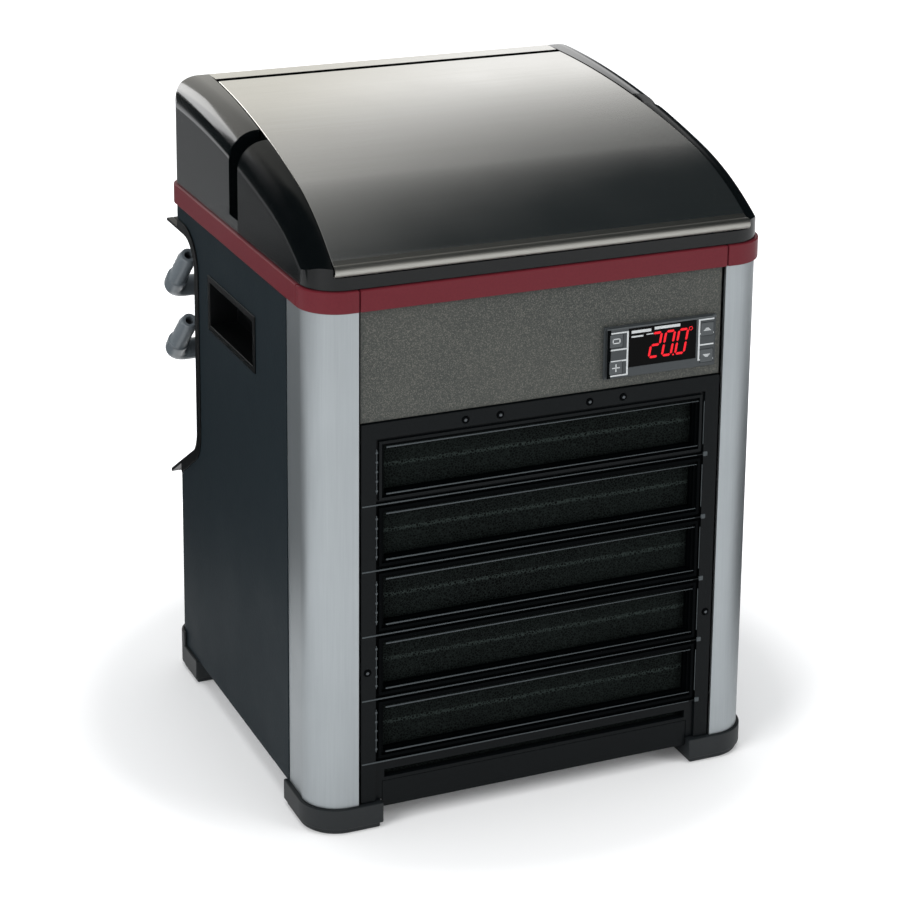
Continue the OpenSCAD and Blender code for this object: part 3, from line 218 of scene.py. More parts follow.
# Soft PVC hose, plain grey
HOSE_PVC = Finish("grey_pvc_hose", "#5b6166", "#52585c", 0.42, grain_mm=2.0, relief_mm=0.02)
# Dark grey nylon of the fan rotor
ROTOR_NYLON = Finish("fan_rotor_nylon", "#2c2e30", "#242628", 0.42, grain_mm=1.4, relief_mm=0.02)


def linear(code: str) -> tuple[float, float, float, float]:
    """Turns an sRGB hex colour into the linear values that shaders take.

    Args:
        code: The colour as #rrggbb.

    Returns:
        Linear red, green and blue, and an alpha of 1.
    """
    parts = [int(code[i : i + 2], 16) / 255 for i in (1, 3, 5)]
    return (*(c / 12.92 if c <= 0.04045 else ((c + 0.055) / 1.055) ** 2.4 for c in parts), 1.0)


def add_node(
    tree: bpy.types.NodeTree, kind: str, settings: dict | None = None, **inputs: object,
) -> bpy.types.Node:
    """Adds a node with its settings, values and links.

    Args:
        tree: The node tree that takes it.
        kind: The node's type name.
        settings: Properties of the node itself.
        inputs: Values or sockets for its inputs, by name with _ for a space, or by i and the input's number.

    Returns:
        The new node.
    """
    made = tree.nodes.new(kind)
    for key, value in (settings or {}).items():
        setattr(made, key, value)
    for key, value in inputs.items():
        number = key[1:]
        socket = made.inputs[int(number)] if key[0] == "i" and number.isdigit() else made.inputs[
            key.replace("_", " ")
        ]
        if isinstance(value, bpy.types.NodeSocket):
            tree.links.new(value, socket)
        else:
            socket.default_value = value
    return made


class MaterialShop:
    """Makes each finish once and hands out its material."""

    def __init__(self) -> None:
        """Starts with no materials."""
        self.made: dict[str, bpy.types.Material] = {}

    def get(self, finish: Finish) -> bpy.types.Material:
        """Gives the material of a finish.

        Args:
            finish: The finish wanted.

        Returns:
            Its material, the same one each time.
        """
        if finish.title not in self.made:
            self.made[finish.title] = self._mix(finish)
        return self.made[finish.title]

    def _pattern(
        self, tree: bpy.types.NodeTree, finish: Finish,
    ) -> tuple[bpy.types.NodeSocket, bpy.types.NodeSocket]:
        """Draws the surface pattern of a finish.

        Args:
            tree: The material's tree.
            finish: The finish, whose grain size in mm sets the scale.

        Returns:
            The height of the pattern and the share of the second colour.
        """
        place = add_node(tree, "ShaderNodeTexCoord").outputs["Object"]
        per_metre = 1000.0 / finish.grain_mm
        stretch = {
            Grain.BRUSHED_UP: (1.0, 1.0, 0.02),
            Grain.BRUSHED_ACROSS: (0.012, 1.0, 1.0),
        }.get(finish.grain, (1.0, 1.0, 1.0))
        turned = add_node(
            tree, "ShaderNodeMapping", Vector=place, Scale=tuple(per_metre * s for s in stretch),
        ).outputs[0]
        fine = add_node(
            tree, "ShaderNodeTexNoise", Vector=turned, Scale=1.0, Detail=3.0, Roughness=0.6,
        ).outputs[0]
        if finish.grain is Grain.SPECKLED:
            cells = add_node(tree, "ShaderNodeTexVoronoi", Vector=turned, Scale=1.0).outputs["Color"]
            flake = add_node(tree, "ShaderNodeSeparateColor", Color=cells).outputs[0]
            share = add_node(
                tree, "ShaderNodeMapRange", Value=flake, i1=0.55, i2=1.0, i3=0.0, i4=0.75,
            ).outputs[0]
            return fine, share
        if finish.grain is Grain.PEEL:
            cells = add_node(
                tree, "ShaderNodeTexVoronoi", {"feature": "SMOOTH_F1"}, Vector=turned, Scale=1.0,
            ).outputs[0]
            height = add_node(tree, "ShaderNodeMath", {"operation": "ADD"}, i0=cells, i1=fine).outputs[0]
            return height, fine
        if finish.grain is Grain.MESH:
            holes = add_node(
                tree, "ShaderNodeTexVoronoi", {"feature": "DISTANCE_TO_EDGE"}, Vector=turned, Scale=1.0,
            ).outputs[0]
            wall = add_node(
                tree, "ShaderNodeMapRange", Value=holes, i1=0.02, i2=0.22, i3=1.0, i4=0.0,
            ).outputs[0]
            # Painted highlight: the cells grow lighter along a line across each opening, one foam pitch apart
            height = add_node(tree, "ShaderNodeSeparateXYZ", Vector=place).outputs[2]
            below = add_node(
                tree, "ShaderNodeMath", {"operation": "WRAP"}, i0=height,
                i1=(FOAM_HIGHLIGHT_LINE - FOAM_PITCH / 2) * MM, i2=(FOAM_HIGHLIGHT_LINE + FOAM_PITCH / 2) * MM,
            ).outputs[0]
            off = add_node(
                tree, "ShaderNodeMath", {"operation": "SUBTRACT"}, i0=below, i1=FOAM_HIGHLIGHT_LINE * MM,
            ).outputs[0]
            far = add_node(tree, "ShaderNodeMath", {"operation": "ABSOLUTE"}, i0=off).outputs[0]
            band = add_node(
                tree, "ShaderNodeMapRange", Value=far, i1=0.4 * MM, i2=1.7 * MM, i3=2.2, i4=0.6,
            ).outputs[0]
            dots = add_node(tree, "ShaderNodeMath", {"operation": "MULTIPLY"}, i0=wall, i1=fine).outputs[0]
            share = add_node(
                tree, "ShaderNodeMath", {"operation": "MULTIPLY", "use_clamp": True}, i0=dots, i1=band,
            )
            return wall, share.outputs[0]
        return fine, fine

    def _mix(self, finish: Finish) -> bpy.types.Material:
        """Builds the material of one finish.

        Args:
            finish: The finish to build.

        Returns:
            The material.
        """
        material = bpy.data.materials.new(finish.title)
        material.use_nodes = True
        tree = material.node_tree
        tree.nodes.clear()
        shader = add_node(
            tree, "ShaderNodeBsdfPrincipled",
            Metallic=finish.metallic, Coat_Weight=finish.coat, Coat_Roughness=0.08
        )
        if not finish.metallic:
            shader.inputs["Specular IOR Level"].default_value = finish.specular
        add_node(tree, "ShaderNodeOutputMaterial", Surface=shader.outputs[0])
        height, share = self._pattern(tree, finish)
        place = add_node(tree, "ShaderNodeTexCoord").outputs["Object"]
        # Handling and dust change the sheen over patches of about 60 mm
        patches = add_node(
            tree, "ShaderNodeTexNoise", Vector=place, Scale=16.0, Detail=4.0, Roughness=0.55,
        ).outputs[0]
        shades = add_node(
            tree, "ShaderNodeMix", {"data_type": "RGBA"},
            Factor=share, i6=linear(finish.colour), i7=linear(finish.tint)
        )
        worn = add_node(tree, "ShaderNodeMapRange", Value=patches, i1=0.3, i2=0.7, i3=0.0, i4=0.12).outputs[0]
        shaded = add_node(
            tree, "ShaderNodeMix", {"data_type": "RGBA"},
            Factor=worn, i6=shades.outputs[2], i7=linear(finish.tint)
        )
        tree.links.new(shaded.outputs[2], shader.inputs["Base Color"])
        rough = add_node(
            tree, "ShaderNodeMapRange", Value=patches, i1=0.25, i2=0.75,
            i3=max(finish.roughness - finish.wander, 0.03), i4=finish.roughness + finish.wander,
        ).outputs[0]
        tree.links.new(rough, shader.inputs["Roughness"])
        if finish.grain is not Grain.CLEAR:
            bump = add_node(
                tree, "ShaderNodeBump", Height=height, Strength=0.6, Distance=finish.relief_mm * MM,
            )
            tree.links.new(bump.outputs[0], shader.inputs["Normal"])
        if finish.glow:
            shader.inputs["Emission Color"].default_value = linear(finish.glow)
            shader.inputs["Emission Strength"].default_value = finish.glow_strength
        return material


SHOP = MaterialShop()


# The workbench: each function is one step of modelling


def put_down() -> None:
    """Leaves edit mode and deselects everything."""
    if bpy.context.object and bpy.context.object.mode != "OBJECT":
        bpy.ops.object.mode_set(mode="OBJECT")
    bpy.ops.object.select_all(action="DESELECT")


def pick_up(piece: bpy.types.Object) -> None:
    """Makes a piece the only selected and the active one.

    Args:
        piece: The piece to work on.
    """
    put_down()
    piece.select_set(True)
    bpy.context.view_layer.objects.active = piece


def apply_modifier(piece: bpy.types.Object, kind: str, **settings: object) -> None:
    """Adds a modifier to a piece and applies it.

    Args:
        piece: The piece.
        kind: The modifier's type name.
        settings: Its properties.
    """
    pick_up(piece)
    modifier = piece.modifiers.new(kind.lower(), kind)
    for key, value in settings.items():
        setattr(modifier, key, value)
    bpy.ops.object.modifier_apply(modifier=modifier.name)


def cut(piece: bpy.types.Object, tool: bpy.types.Object, operation: str = "DIFFERENCE") -> None:
    """Cuts a piece with a tool shape, which is used up.

    Args:
        piece: The piece to cut.
        tool: The closed shape that cuts it.
        operation: DIFFERENCE, INTERSECT or UNION.
    """
    apply_modifier(piece, "BOOLEAN", object=tool, operation=operation, solver="EXACT")
    bpy.data.objects.remove(tool)


def select_edges(piece: bpy.types.Object, wanted: Callable[[bmesh.types.BMEdge], bool]) -> None:
    """Enters edit mode with only some edges selected.

    Args:
        piece: The piece.
        wanted: Tells whether an edge is to be selected.
    """
    pick_up(piece)
    bpy.ops.object.mode_set(mode="EDIT")
    bpy.ops.mesh.select_mode(type="EDGE")
    bpy.ops.mesh.select_all(action="DESELECT")
    mesh = bmesh.from_edit_mesh(piece.data)
    for edge in mesh.edges:
        edge.select_set(wanted(edge))
    bmesh.update_edit_mesh(piece.data)


def tidy_mesh(piece: bpy.types.Object) -> None:
    """Merges doubles and turns the faces outwards.

    Args:
        piece: The piece.
    """
    pick_up(piece)
    bpy.ops.object.mode_set(mode="EDIT")
    bpy.ops.mesh.select_all(action="SELECT")
    bpy.ops.mesh.remove_doubles(threshold=WELD * MM)
    bpy.ops.mesh.normals_make_consistent(inside=False)
    bpy.ops.object.mode_set(mode="OBJECT")


def block(name: str, low: Vector, high: Vector, edge_mm: float = 0.0, steps: int = 2) -> bpy.types.Object:
    """Makes a block between two corners, with its edges rounded.

    Args:
        name: The object's name.
        low: Its lowest corner, in metres.
        high: Its highest corner, in metres.
        edge_mm: Radius of its edges.
        steps: Faces across each rounded edge.

    Returns:
        The block.
    """
    put_down()
    bpy.ops.mesh.primitive_cube_add(size=1.0, location=(low + high) / 2)
    made = bpy.context.object
    made.name = name
    made.scale = high - low
    bpy.ops.object.transform_apply(location=True, rotation=True, scale=True)
    if edge_mm:
        bpy.ops.object.mode_set(mode="EDIT")
        bpy.ops.mesh.select_all(action="SELECT")
        bpy.ops.mesh.bevel(offset=edge_mm * MM, segments=steps, affect="EDGES")
        bpy.ops.object.mode_set(mode="OBJECT")
    return made


def disc(
    name: str, centre: Vector, axis: Vector, radius_mm: float, length_mm: float, edge_mm: float,
    sides: int = 32,
) -> bpy.types.Object:
    """Makes a round stud with a rounded rim.

    Args:
        name: The object's name.
        centre: The middle of the stud, in metres.
        axis: The direction that it points in.
        radius_mm: Its radius.
        length_mm: Its length.
        edge_mm: Radius of its rims.
        sides: Faces round it.

    Returns:
        The stud.
    """
    put_down()
    turn = Vector((0, 0, 1)).rotation_difference(axis).to_euler()
    bpy.ops.mesh.primitive_cylinder_add(
        vertices=sides, radius=radius_mm * MM, depth=length_mm * MM, location=centre, rotation=turn,
    )
    made = bpy.context.object
    made.name = name
    bpy.ops.object.transform_apply(location=True, rotation=True, scale=True)
    select_edges(made, lambda e: any(len(f.verts) > 4 for f in e.link_faces))
    bpy.ops.mesh.bevel(offset=edge_mm * MM, segments=3, affect="EDGES")
    bpy.ops.object.mode_set(mode="OBJECT")
    return made


def shaped_grid(name: str, columns: int, rows: int, place: Callable[[int, int], Vector]) -> bpy.types.Object:
    """Makes a grid and moves each of its points to a place that follows a rule.

    Args:
        name: The object's name.
        columns: Points across.
        rows: Points along.
        place: Gives the place of the point in a column and a row, in metres.

    Returns:
        The grid as a surface.
    """
    put_down()
    bpy.ops.mesh.primitive_grid_add(x_subdivisions=columns - 1, y_subdivisions=rows - 1, size=2.0)
    made = bpy.context.object
    made.name = name
    for vertex in made.data.vertices:
        i = round((vertex.co.x + 1) / 2 * (columns - 1))
        j = round((vertex.co.y + 1) / 2 * (rows - 1))
        vertex.co = place(i, j)
    made.data.update()
    return made


def swept(
    name: str, stations: Sequence[tuple[Vector, Vector, float]], side: Vector, sides: int = 36,
) -> bpy.types.Object:
    """Makes a round tube through a row of stations.

    Args:
        name: The object's name.
        stations: Centre in metres, direction and radius in mm of each ring, in order.
        side: A direction square to every station's.
        sides: Faces round the tube.

    Returns:
        The tube, open at its first and last ring.
    """

    def place(i: int, j: int) -> Vector:
        """Gives a point of one ring."""
        centre, along, radius = stations[j]
        across = side.cross(along).normalized()
        angle = math.tau * i / sides
        return centre + (side * math.cos(angle) + across * math.sin(angle)) * radius * MM

    made = shaped_grid(name, sides + 1, len(stations), place)
    tidy_mesh(made)
    return made


def joined(name: str, pieces: Iterable[bpy.types.Object]) -> bpy.types.Object:
    """Joins several meshes into one piece.

    Args:
        name: The new piece's name.
        pieces: The meshes, used up.

    Returns:
        The joined piece.
    """
    group = list(pieces)
    put_down()
    for piece in group:
        piece.select_set(True)
    bpy.context.view_layer.objects.active = group[0]
    bpy.ops.object.join()
    group[0].name = name
    return group[0]


def smooth(piece: bpy.types.Object, degrees: float = 35.0) -> None:
    """Shades a piece smooth except across sharp edges.

    Args:
        piece: The piece.
        degrees: Edges sharper than this stay crisp.
    """
    pick_up(piece)
    bpy.ops.object.shade_smooth_by_angle(angle=math.radians(degrees))
    apply_modifier(piece, "WEIGHTED_NORMAL", keep_sharp=True, weight=80)


def deliver(
    piece: bpy.types.Object, finish: Finish, stands_for: Sequence[str], body: str = "",
    degrees: float = 35.0,
) -> bpy.types.Object:
    """Dresses a finished piece and fixes it to its body.

    Args:
        piece: The piece.
        finish: Its finish.
        stands_for: Frame parts that it replaces; not read when body is given.
        body: The body that it rides on, where it replaces nothing.
        degrees: Edges sharper than this stay crisp.

    Returns:
        The same piece.
    """
    smooth(piece, degrees)
    piece.data.materials.clear()
    piece.data.materials.append(SHOP.get(finish))
    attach(piece, body or BODY_OF[stands_for[0]])
    if not body:
        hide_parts(*stands_for)
    log.info("%s: %d faces in %s", piece.name, len(piece.data.polygons), finish.title)
    return piece


def softened(
    node: str, name: str, finish: Finish, edge_mm: float = 0.4, steps: int = 2, degrees: float = 35.0,
) -> bpy.types.Object:
    """Rounds the hard edges of a copy of a frame part and lets it stand for that part.

    Args:
        node: The frame part.
        name: The new piece's name.
        finish: Its finish.
        edge_mm: Radius of its edges.
        steps: Faces across each rounded edge.
        degrees: Edges sharper than this stay crisp.

    Returns:
        The piece.
    """
    put_down()
    piece = bpy.data.objects.new(name, frame["nodes"][node].data.copy())
    bpy.context.scene.collection.objects.link(piece)
    pick_up(piece)
    if piece.data.has_custom_normals:
        bpy.ops.mesh.customdata_custom_splitnormals_clear()
    bpy.ops.object.mode_set(mode="EDIT")
    bpy.ops.mesh.select_all(action="SELECT")
    bpy.ops.mesh.remove_doubles(threshold=0.004 * MM)
    bpy.ops.mesh.dissolve_limited(angle_limit=math.radians(0.5))
    bpy.ops.object.mode_set(mode="OBJECT")
    if edge_mm:
        apply_modifier(
            piece, "BEVEL", width=edge_mm * MM, segments=steps, limit_method="ANGLE",
            angle_limit=math.radians(32), use_clamp_overlap=True,
        )
    return deliver(piece, finish, [node], degrees=degrees)


# The unit


@dataclass
class CaseSizes:
    """Sizes that several sub-assemblies share, in mm."""

    half_w: float = 145.0
    front_y: float = 2.0
    rear_y: float = 262.0
    corner_r: float = 22.0
    rear_r: float = 14.0
    deck_z: float = 335.0
    lid_base: float = 335.4
    top_z: float = 402.25
    top_r: float = 825.0
    nose_r: float = 189.857
    join_y: float = 73.0
    shoulder_r: float = 18.0
    wall: float = 3.0
    cheek_d: float = 129.0
    tower_y: float = 145.0
    strip_y: float = 245.5
    hood_y: float = 251.0
    sheet_rear: float = 240.0
    tongue_half: float = 126.6
    sheet_half_front: float = 131.6
    sheet_half_rear: float = 118.5
    tower_gap: float = 1.0
    sill_h: float = 8.0
    lip_r: float = 2.6

    def top(self, y: float) -> float:
        """Gives the height of the lid's crown.

        Args:
            y: Distance behind the front, in mm.

        Returns:
            The height in mm.
        """
        top_y, top_low = self.rear_y, self.top_z - self.top_r
        join_z = top_low + math.sqrt(self.top_r**2 - (self.join_y - top_y) ** 2)
        share = self.nose_r / self.top_r
        nose_y, nose_low = self.join_y + (top_y - self.join_y) * share, join_z + (top_low - join_z) * share
        if y > self.join_y:
            return top_low + math.sqrt(self.top_r**2 - (y - top_y) ** 2)
        return nose_low + math.sqrt(self.nose_r**2 - (y - nose_y) ** 2)

    def sheet_half(self, y: float) -> float:
        """Gives half the width of the polished sheet, which narrows towards the rear.

        Args:
            y: Distance behind the front, in mm.

        Returns:
            The half width in mm.
        """
        share = (y - self.front_y) / (self.rear_y - self.front_y)
        return self.sheet_half_front + (self.sheet_half_rear - self.sheet_half_front) * share

    def slanted(self, tool: bpy.types.Object, extra: float) -> bpy.types.Object:
        """Slants the inner sides of a block so that they follow the sheet's edges.

        Args:
            tool: The block.
            extra: How far beyond the sheet's edge they lie, in mm.

        Returns:
            The same block.
        """
        for vertex in tool.data.vertices:
            if abs(vertex.co.x) < 190 * MM:
                y = vertex.co.y / MM + UNIT_DEPTH / 2
                vertex.co.x = math.copysign((self.sheet_half(y) + extra) * MM, vertex.co.x)
        return tool


@dataclass
class Crown:
    """The rounded top of the unit, from which the lid and the rear hood are cut."""

    sizes: CaseSizes
    rows: int = 72
    shoulder_steps: int = 12
    rear_round: float = 2.6

    def solid(self, name: str, inset: float) -> bpy.types.Object:
        """Makes the whole top as one closed solid.

        Args:
            name: The object's name.
            inset: How far it is drawn in, in mm.

        Returns:
            The solid, cut to the rounded plan.
        """
        s = self.sizes
        w, y0, y1 = s.half_w - inset, s.front_y + inset, s.rear_y - inset
        turns = [90.0 * k / self.shoulder_steps for k in range(self.shoulder_steps, -1, -1)]
        left = [
            (-w + s.shoulder_r * (1 - math.sin(math.radians(a))), 1 - math.cos(math.radians(a)))
            for a in turns
        ]
        columns = [(-w - 1, 1.0), *left, *[(-x, fall) for x, fall in reversed(left)], (w + 1, 1.0)]
        r = self.rear_round
        rows = [y0 - 1] + [y0 + (y1 - r - y0) * k / self.rows for k in range(self.rows + 1)]
        rows += [y1 - r + r * math.sin(math.radians(a)) for a in range(10, 90, 10)] + [y1 + 1]
        low = s.lid_base - 2

        def place(i: int, j: int) -> Vector:
            """Gives a point of the crown."""
            x, share = columns[i]
            y = rows[j]
            drop = r - math.sqrt(max(0.0, r * r - (y - y1 + r) ** 2)) if y > y1 - r else 0.0
            top = s.top(y) - inset - drop
            return at(x, y, top - min(s.shoulder_r, top - low - s.lip_r) * share)

        made = shaped_grid(name, len(columns), len(rows), place)
        bpy.ops.object.mode_set(mode="EDIT")
        bpy.ops.mesh.select_all(action="SELECT")
        bpy.ops.mesh.extrude_region_move(TRANSFORM_OT_translate={"value": (0, 0, -0.08)})
        bpy.ops.object.mode_set(mode="OBJECT")
        for vertex in made.data.vertices:
            if vertex.select:
                vertex.co.z = (low - 2) * MM
        tidy_mesh(made)
        cut(made, self.plan(inset, low, s.top_z + 5), "INTERSECT")
        return made

    def plan(self, inset: float, low: float, high: float) -> bpy.types.Object:
        """Makes the rounded plan of the case as a prism.

        Args:
            inset: How far it is drawn in, in mm.
            low: Its lower height in mm.
            high: Its upper height in mm.

        Returns:
            The prism.
        """
        s = self.sizes
        w, y0, y1 = s.half_w - inset, s.front_y + inset, s.rear_y - inset
        made = block("plan", at(-w, y0, low), at(w, y1, high))
        for front, radius in ((True, s.corner_r - inset), (False, s.rear_r - inset)):
            edge_y = at(0, y0 if front else y1, 0).y
            select_edges(
                made,
                lambda e: abs(e.verts[0].co.z - e.verts[1].co.z) > 0.01
                and all(abs(v.co.y - edge_y) < 1e-5 and abs(abs(v.co.x) - w * MM) < 1e-5 for v in e.verts),
            )
            bpy.ops.mesh.bevel(offset=radius * MM, segments=14, affect="EDGES")
            bpy.ops.object.mode_set(mode="OBJECT")
        return made


@dataclass
class TopLid:
    """The hinged top: a gloss moulding with a polished sheet let into it."""

    sizes: CaseSizes
    sheet_t: float = 1.2
    seat: float = 0.2
    edge: float = 0.7
    bead_r: float = 3.4
    bead_z: float = 346.6
    bead_front: float = 0.3
    sheet_start: float = 8.2
    lip_low: float = 342.9
    hinge_y: float = 246.0
    hinge_z: float = 396.945
    barrel_r: float = 4.0
    pin_r: float = 2.0
    pin_l: float = 22.0

    def sheet_profile(self, depth: float, y0: float, y1: float, count: int) -> list[tuple[float, float]]:
        """Gives points along the lid's profile.

        Args:
            depth: How far under the crown they lie, in mm.
            y0: Distance behind the front at which they start.
            y1: Distance behind the front at which they end.
            count: How many steps they take.

        Returns:
            Distance behind the front and height of each point.
        """
        ys = [y0 + (y1 - y0) * k / count for k in range(count + 1)]
        return [(y, self.sizes.top(y) - depth) for y in ys]

    def moulding(self) -> bpy.types.Object:
        """Makes the gloss moulding with its cheeks, tongue and hinge barrel.

        Returns:
            The moulding.
        """
        s = self.sizes
        crown = Crown(s)
        made = crown.solid("lid_moulding", 0.0)
        cut(made, block("tool", at(-200, -20, 300), at(200, 300, s.lid_base)))
        cut(made, block("tool", at(-200, self.hinge_y, 300), at(200, 300, 450)))
        for side in (-1, 1):
            x0, x1 = sorted((side * s.tongue_half, side * 200))
            cut(made, s.slanted(block("tool", at(x0, s.cheek_d, 300), at(x1, 300, 450)), 0.0))
        hollow = crown.solid("hollow", s.wall)
        cut(hollow, block("tool", at(-200, s.sheet_rear - 8, self.hinge_z - 8), at(200, 300, 450)))
        for side in (-1, 1):
            x0, x1 = sorted((side * (s.tongue_half - s.wall), side * 200))
            cut(hollow, s.slanted(block("tool", at(x0, s.cheek_d - s.wall, 300), at(x1, 300, 450)), -s.wall))
        cut(made, hollow)
        # Behind the sheet the tongue steps down to the hinge barrel, and a dark groove shows
        cut(made, block("tool", at(-200, s.sheet_rear + 0.2, self.hinge_z), at(200, 300, 450)))
        half = s.sheet_half(s.front_y) + self.seat / 2
        top = self.sheet_profile(-3.0, -1.0, s.sheet_rear + 1, 90)
        low = self.sheet_profile(self.sheet_t + 0.05, -1.0, s.sheet_rear + 1, 90)
        rim = top + low[::-1] + top[:1]
        tool = shaped_grid(
            "tool", 2, 2 * len(top) + 1,
            lambda i, j: at((s.sheet_half(rim[j][0]) + self.seat / 2) * (2 * i - 1), *rim[j]),
        )
        self._close_ends(tool)
        cut(made, tool)
        cut(made, block("tool", at(-half, -20, self.lip_low), at(half, self.sheet_start, s.top_z)))
        apply_modifier(
            made, "BEVEL", width=self.edge * MM, segments=3, limit_method="ANGLE",
            angle_limit=math.radians(38), use_clamp_overlap=True,
        )
        barrel = disc(
            "barrel", at(
                0, self.hinge_y, self.hinge_z,
            ), Vector((1, 0, 0)), self.barrel_r, 2 * s.sheet_half(self.hinge_y), 0.4, 40
        )
        for side in (-1, 1):
            cut(barrel, disc(
                "tool", at(side * s.tongue_half, self.hinge_y, self.hinge_z), Vector((1, 0, 0)),
                self.pin_r + 0.05, 2 * self.pin_l, 0.02, 32,
            ))
        made = joined("lid_moulding", [made, barrel])
        return deliver(made, GLOSS_BLACK, ["lid_shell"], degrees=30)

    @staticmethod
    def _close_ends(tube: bpy.types.Object) -> None:
        """Caps the open ends of a folded strip.

        Args:
            tube: The strip, whose first and last rows meet.
        """
        tidy_mesh(tube)
        pick_up(tube)
        bpy.ops.object.mode_set(mode="EDIT")
        bpy.ops.mesh.select_mode(type="EDGE")
        bpy.ops.mesh.select_all(action="DESELECT")
        bpy.ops.mesh.select_non_manifold()
        bpy.ops.mesh.edge_face_add()
        bpy.ops.mesh.select_all(action="DESELECT")
        bpy.ops.mesh.select_non_manifold()
        bpy.ops.mesh.edge_face_add()
        bpy.ops.object.mode_set(mode="OBJECT")
        tidy_mesh(tube)

    def sheet(self) -> bpy.types.Object:
        """Makes the polished sheet with the rolled bead along its front.

        Returns:
            The sheet.
        """
        s = self.sizes
        r, centre = self.bead_r, (self.bead_front + self.bead_r, self.bead_z)
        turns = [math.radians(a) for a in range(300, 64, -10)]
        bead = [(centre[0] + r * math.cos(a), centre[1] + r * math.sin(a)) for a in turns]
        top = bead + self.sheet_profile(0.0, self.sheet_start, s.sheet_rear, 120)
        made = shaped_grid(
            "lid_sheet", 5, len(top), lambda i, j: at(s.sheet_half(top[j][0]) * (i / 2 - 1), *top[j]),
        )
        tidy_mesh(made)
        if sum(f.normal.z for f in made.data.polygons) < 0:
            pick_up(made)
            bpy.ops.object.mode_set(mode="EDIT")
            bpy.ops.mesh.select_all(action="SELECT")
            bpy.ops.mesh.flip_normals()
            bpy.ops.object.mode_set(mode="OBJECT")
        apply_modifier(made, "SOLIDIFY", thickness=self.sheet_t * MM, offset=-1.0, use_even_offset=True)
        apply_modifier(
            made, "BEVEL", width=0.5 * MM, segments=3, limit_method="ANGLE",
            angle_limit=math.radians(60), use_clamp_overlap=True,
        )
        deliver(made, POLISHED_SHEET, ["lid_skin"], degrees=28)
        # The bead takes the darker copy of the sheet's finish: painted shade on its highlight
        made.data.materials.append(SHOP.get(ROLLED_EDGE_PAINTED_SHADE))
        for face in made.data.polygons:
            corners = [made.data.vertices[i].co.y / MM + UNIT_DEPTH / 2 for i in face.vertices]
            face.material_index = int(max(corners) < self.sheet_start)
        return made

    def build(self) -> None:
        """Builds and dresses the lid."""
        self.moulding()
        self.sheet()
        softened("hinge_pins", "hinge_pins_plated", ZINC_STEEL, 0.3)


@dataclass
class RearHood:
    """The fixed gloss cover behind the lid, with a tower in each rear corner."""

    sizes: CaseSizes
    edge: float = 0.7
    run_gap: float = 0.4
    strip_t: float = 0.5
    strip_side: float = 0.8
    strip_drop: float = 6.0

    def build(self) -> None:
        """Builds and dresses the hood."""
        s = self.sizes
        crown = Crown(s)
        made = crown.solid("rear_hood", 0.0)
        cut(made, block("tool", at(-200, -20, 300), at(200, 300, s.deck_z + self.run_gap)))
        cut(made, block("tool", at(-200, -20, 300), at(200, s.cheek_d + self.run_gap, 450)))
        cut(made, s.slanted(block("tool", at(-100, -20, 300), at(100, s.hood_y, 450)), s.tower_gap))
        for side in (-1, 1):
            x0, x1 = sorted((side * 100, side * 200))
            cut(made, s.slanted(block("tool", at(x0, -20, s.deck_z + s.sill_h), at(x1, s.tower_y, 450)), -5))
        hollow = crown.solid("hollow", s.wall)
        cut(hollow, block("tool", at(-200, -20, 300), at(200, s.tower_y + s.wall, 450)))
        cut(
            hollow,
            s.slanted(block("tool", at(-100, -20, s.top_z - 16), at(100, 300, 450)), s.tower_gap + s.wall),
        )
        cut(made, hollow)
        half = s.sheet_half(s.strip_y) + s.tower_gap - self.strip_side
        bed = block("tool", at(-half, s.strip_y - 5, s.top_z - self.strip_drop), at(half, 300, 450))
        cut(bed, crown.solid("inner", self.strip_t + 0.05))
        cut(made, bed)
        apply_modifier(
            made, "BEVEL", width=self.edge * MM, segments=3, limit_method="ANGLE",
            angle_limit=math.radians(38), use_clamp_overlap=True,
        )
        deliver(made, GLOSS_HOOD, ["rear_cover"], degrees=30)
        strip = crown.solid("hood_strip_sheet", 0.0)
        cut(
            strip, block("tool", at(-half, s.strip_y, s.top_z - self.strip_drop), at(half, 300, 450)),
            "INTERSECT",
        )
        cut(strip, crown.solid("inner", self.strip_t))
        deliver(strip, POLISHED_SHEET, ["rear_cover"], body=BODY_OF["rear_cover"], degrees=30)


@dataclass
class Cabinet:
    """The case: extruded columns, coated panels, the red band, feet, handles and the hose bay."""

    sizes: CaseSizes
    band_edge: float = 0.8

    def build(self) -> None:
        """Builds and dresses the case."""
        for side in ("left", "right"):
            softened(f"column_{side}", f"column_extrusion_{side}", SATIN_ALUMINIUM, 0.35)
            softened(f"side_panel_{side}", f"side_sheet_{side}", SLATE_POWDER, 0.35)
            softened(f"band_corner_{side}", f"band_corner_piece_{side}", OXBLOOD_SATIN, self.band_edge, 3)
            softened(f"band_side_{side}", f"band_side_length_{side}", OXBLOOD_SATIN, self.band_edge, 3)
            softened(f"foot_front_{side}", f"front_foot_{side}", FOOT_RUBBER, 0.8, 3)
            softened(f"foot_rear_{side}", f"rear_foot_{side}", FOOT_RUBBER, 0.8, 3)
            softened(f"grip_cup_{side}", f"hand_cup_{side}", TRIM_NYLON, 0.5, 3)
            softened(f"edge_trim_{side}", f"scallop_trim_{side}", TRIM_NYLON, 0.4, 2)
        softened("band_front", "band_front_length", OXBLOOD_SATIN, self.band_edge, 3)
        softened("band_rear", "band_rear_length", OXBLOOD_SATIN, self.band_edge, 3)
        softened("rear_panel", "rear_sheet", SLATE_POWDER, 0.3)
        softened("rear_bay", "hose_bay_moulding", TRIM_NYLON, 0.5)
        softened("base_tray", "base_tray_pressing", GALVANISED, 0.5)
        softened("front_frame", "front_frame_pressing", GALVANISED, 0.3)
        softened("top_deck", "top_deck_moulding", FRAME_NYLON, 0.5)


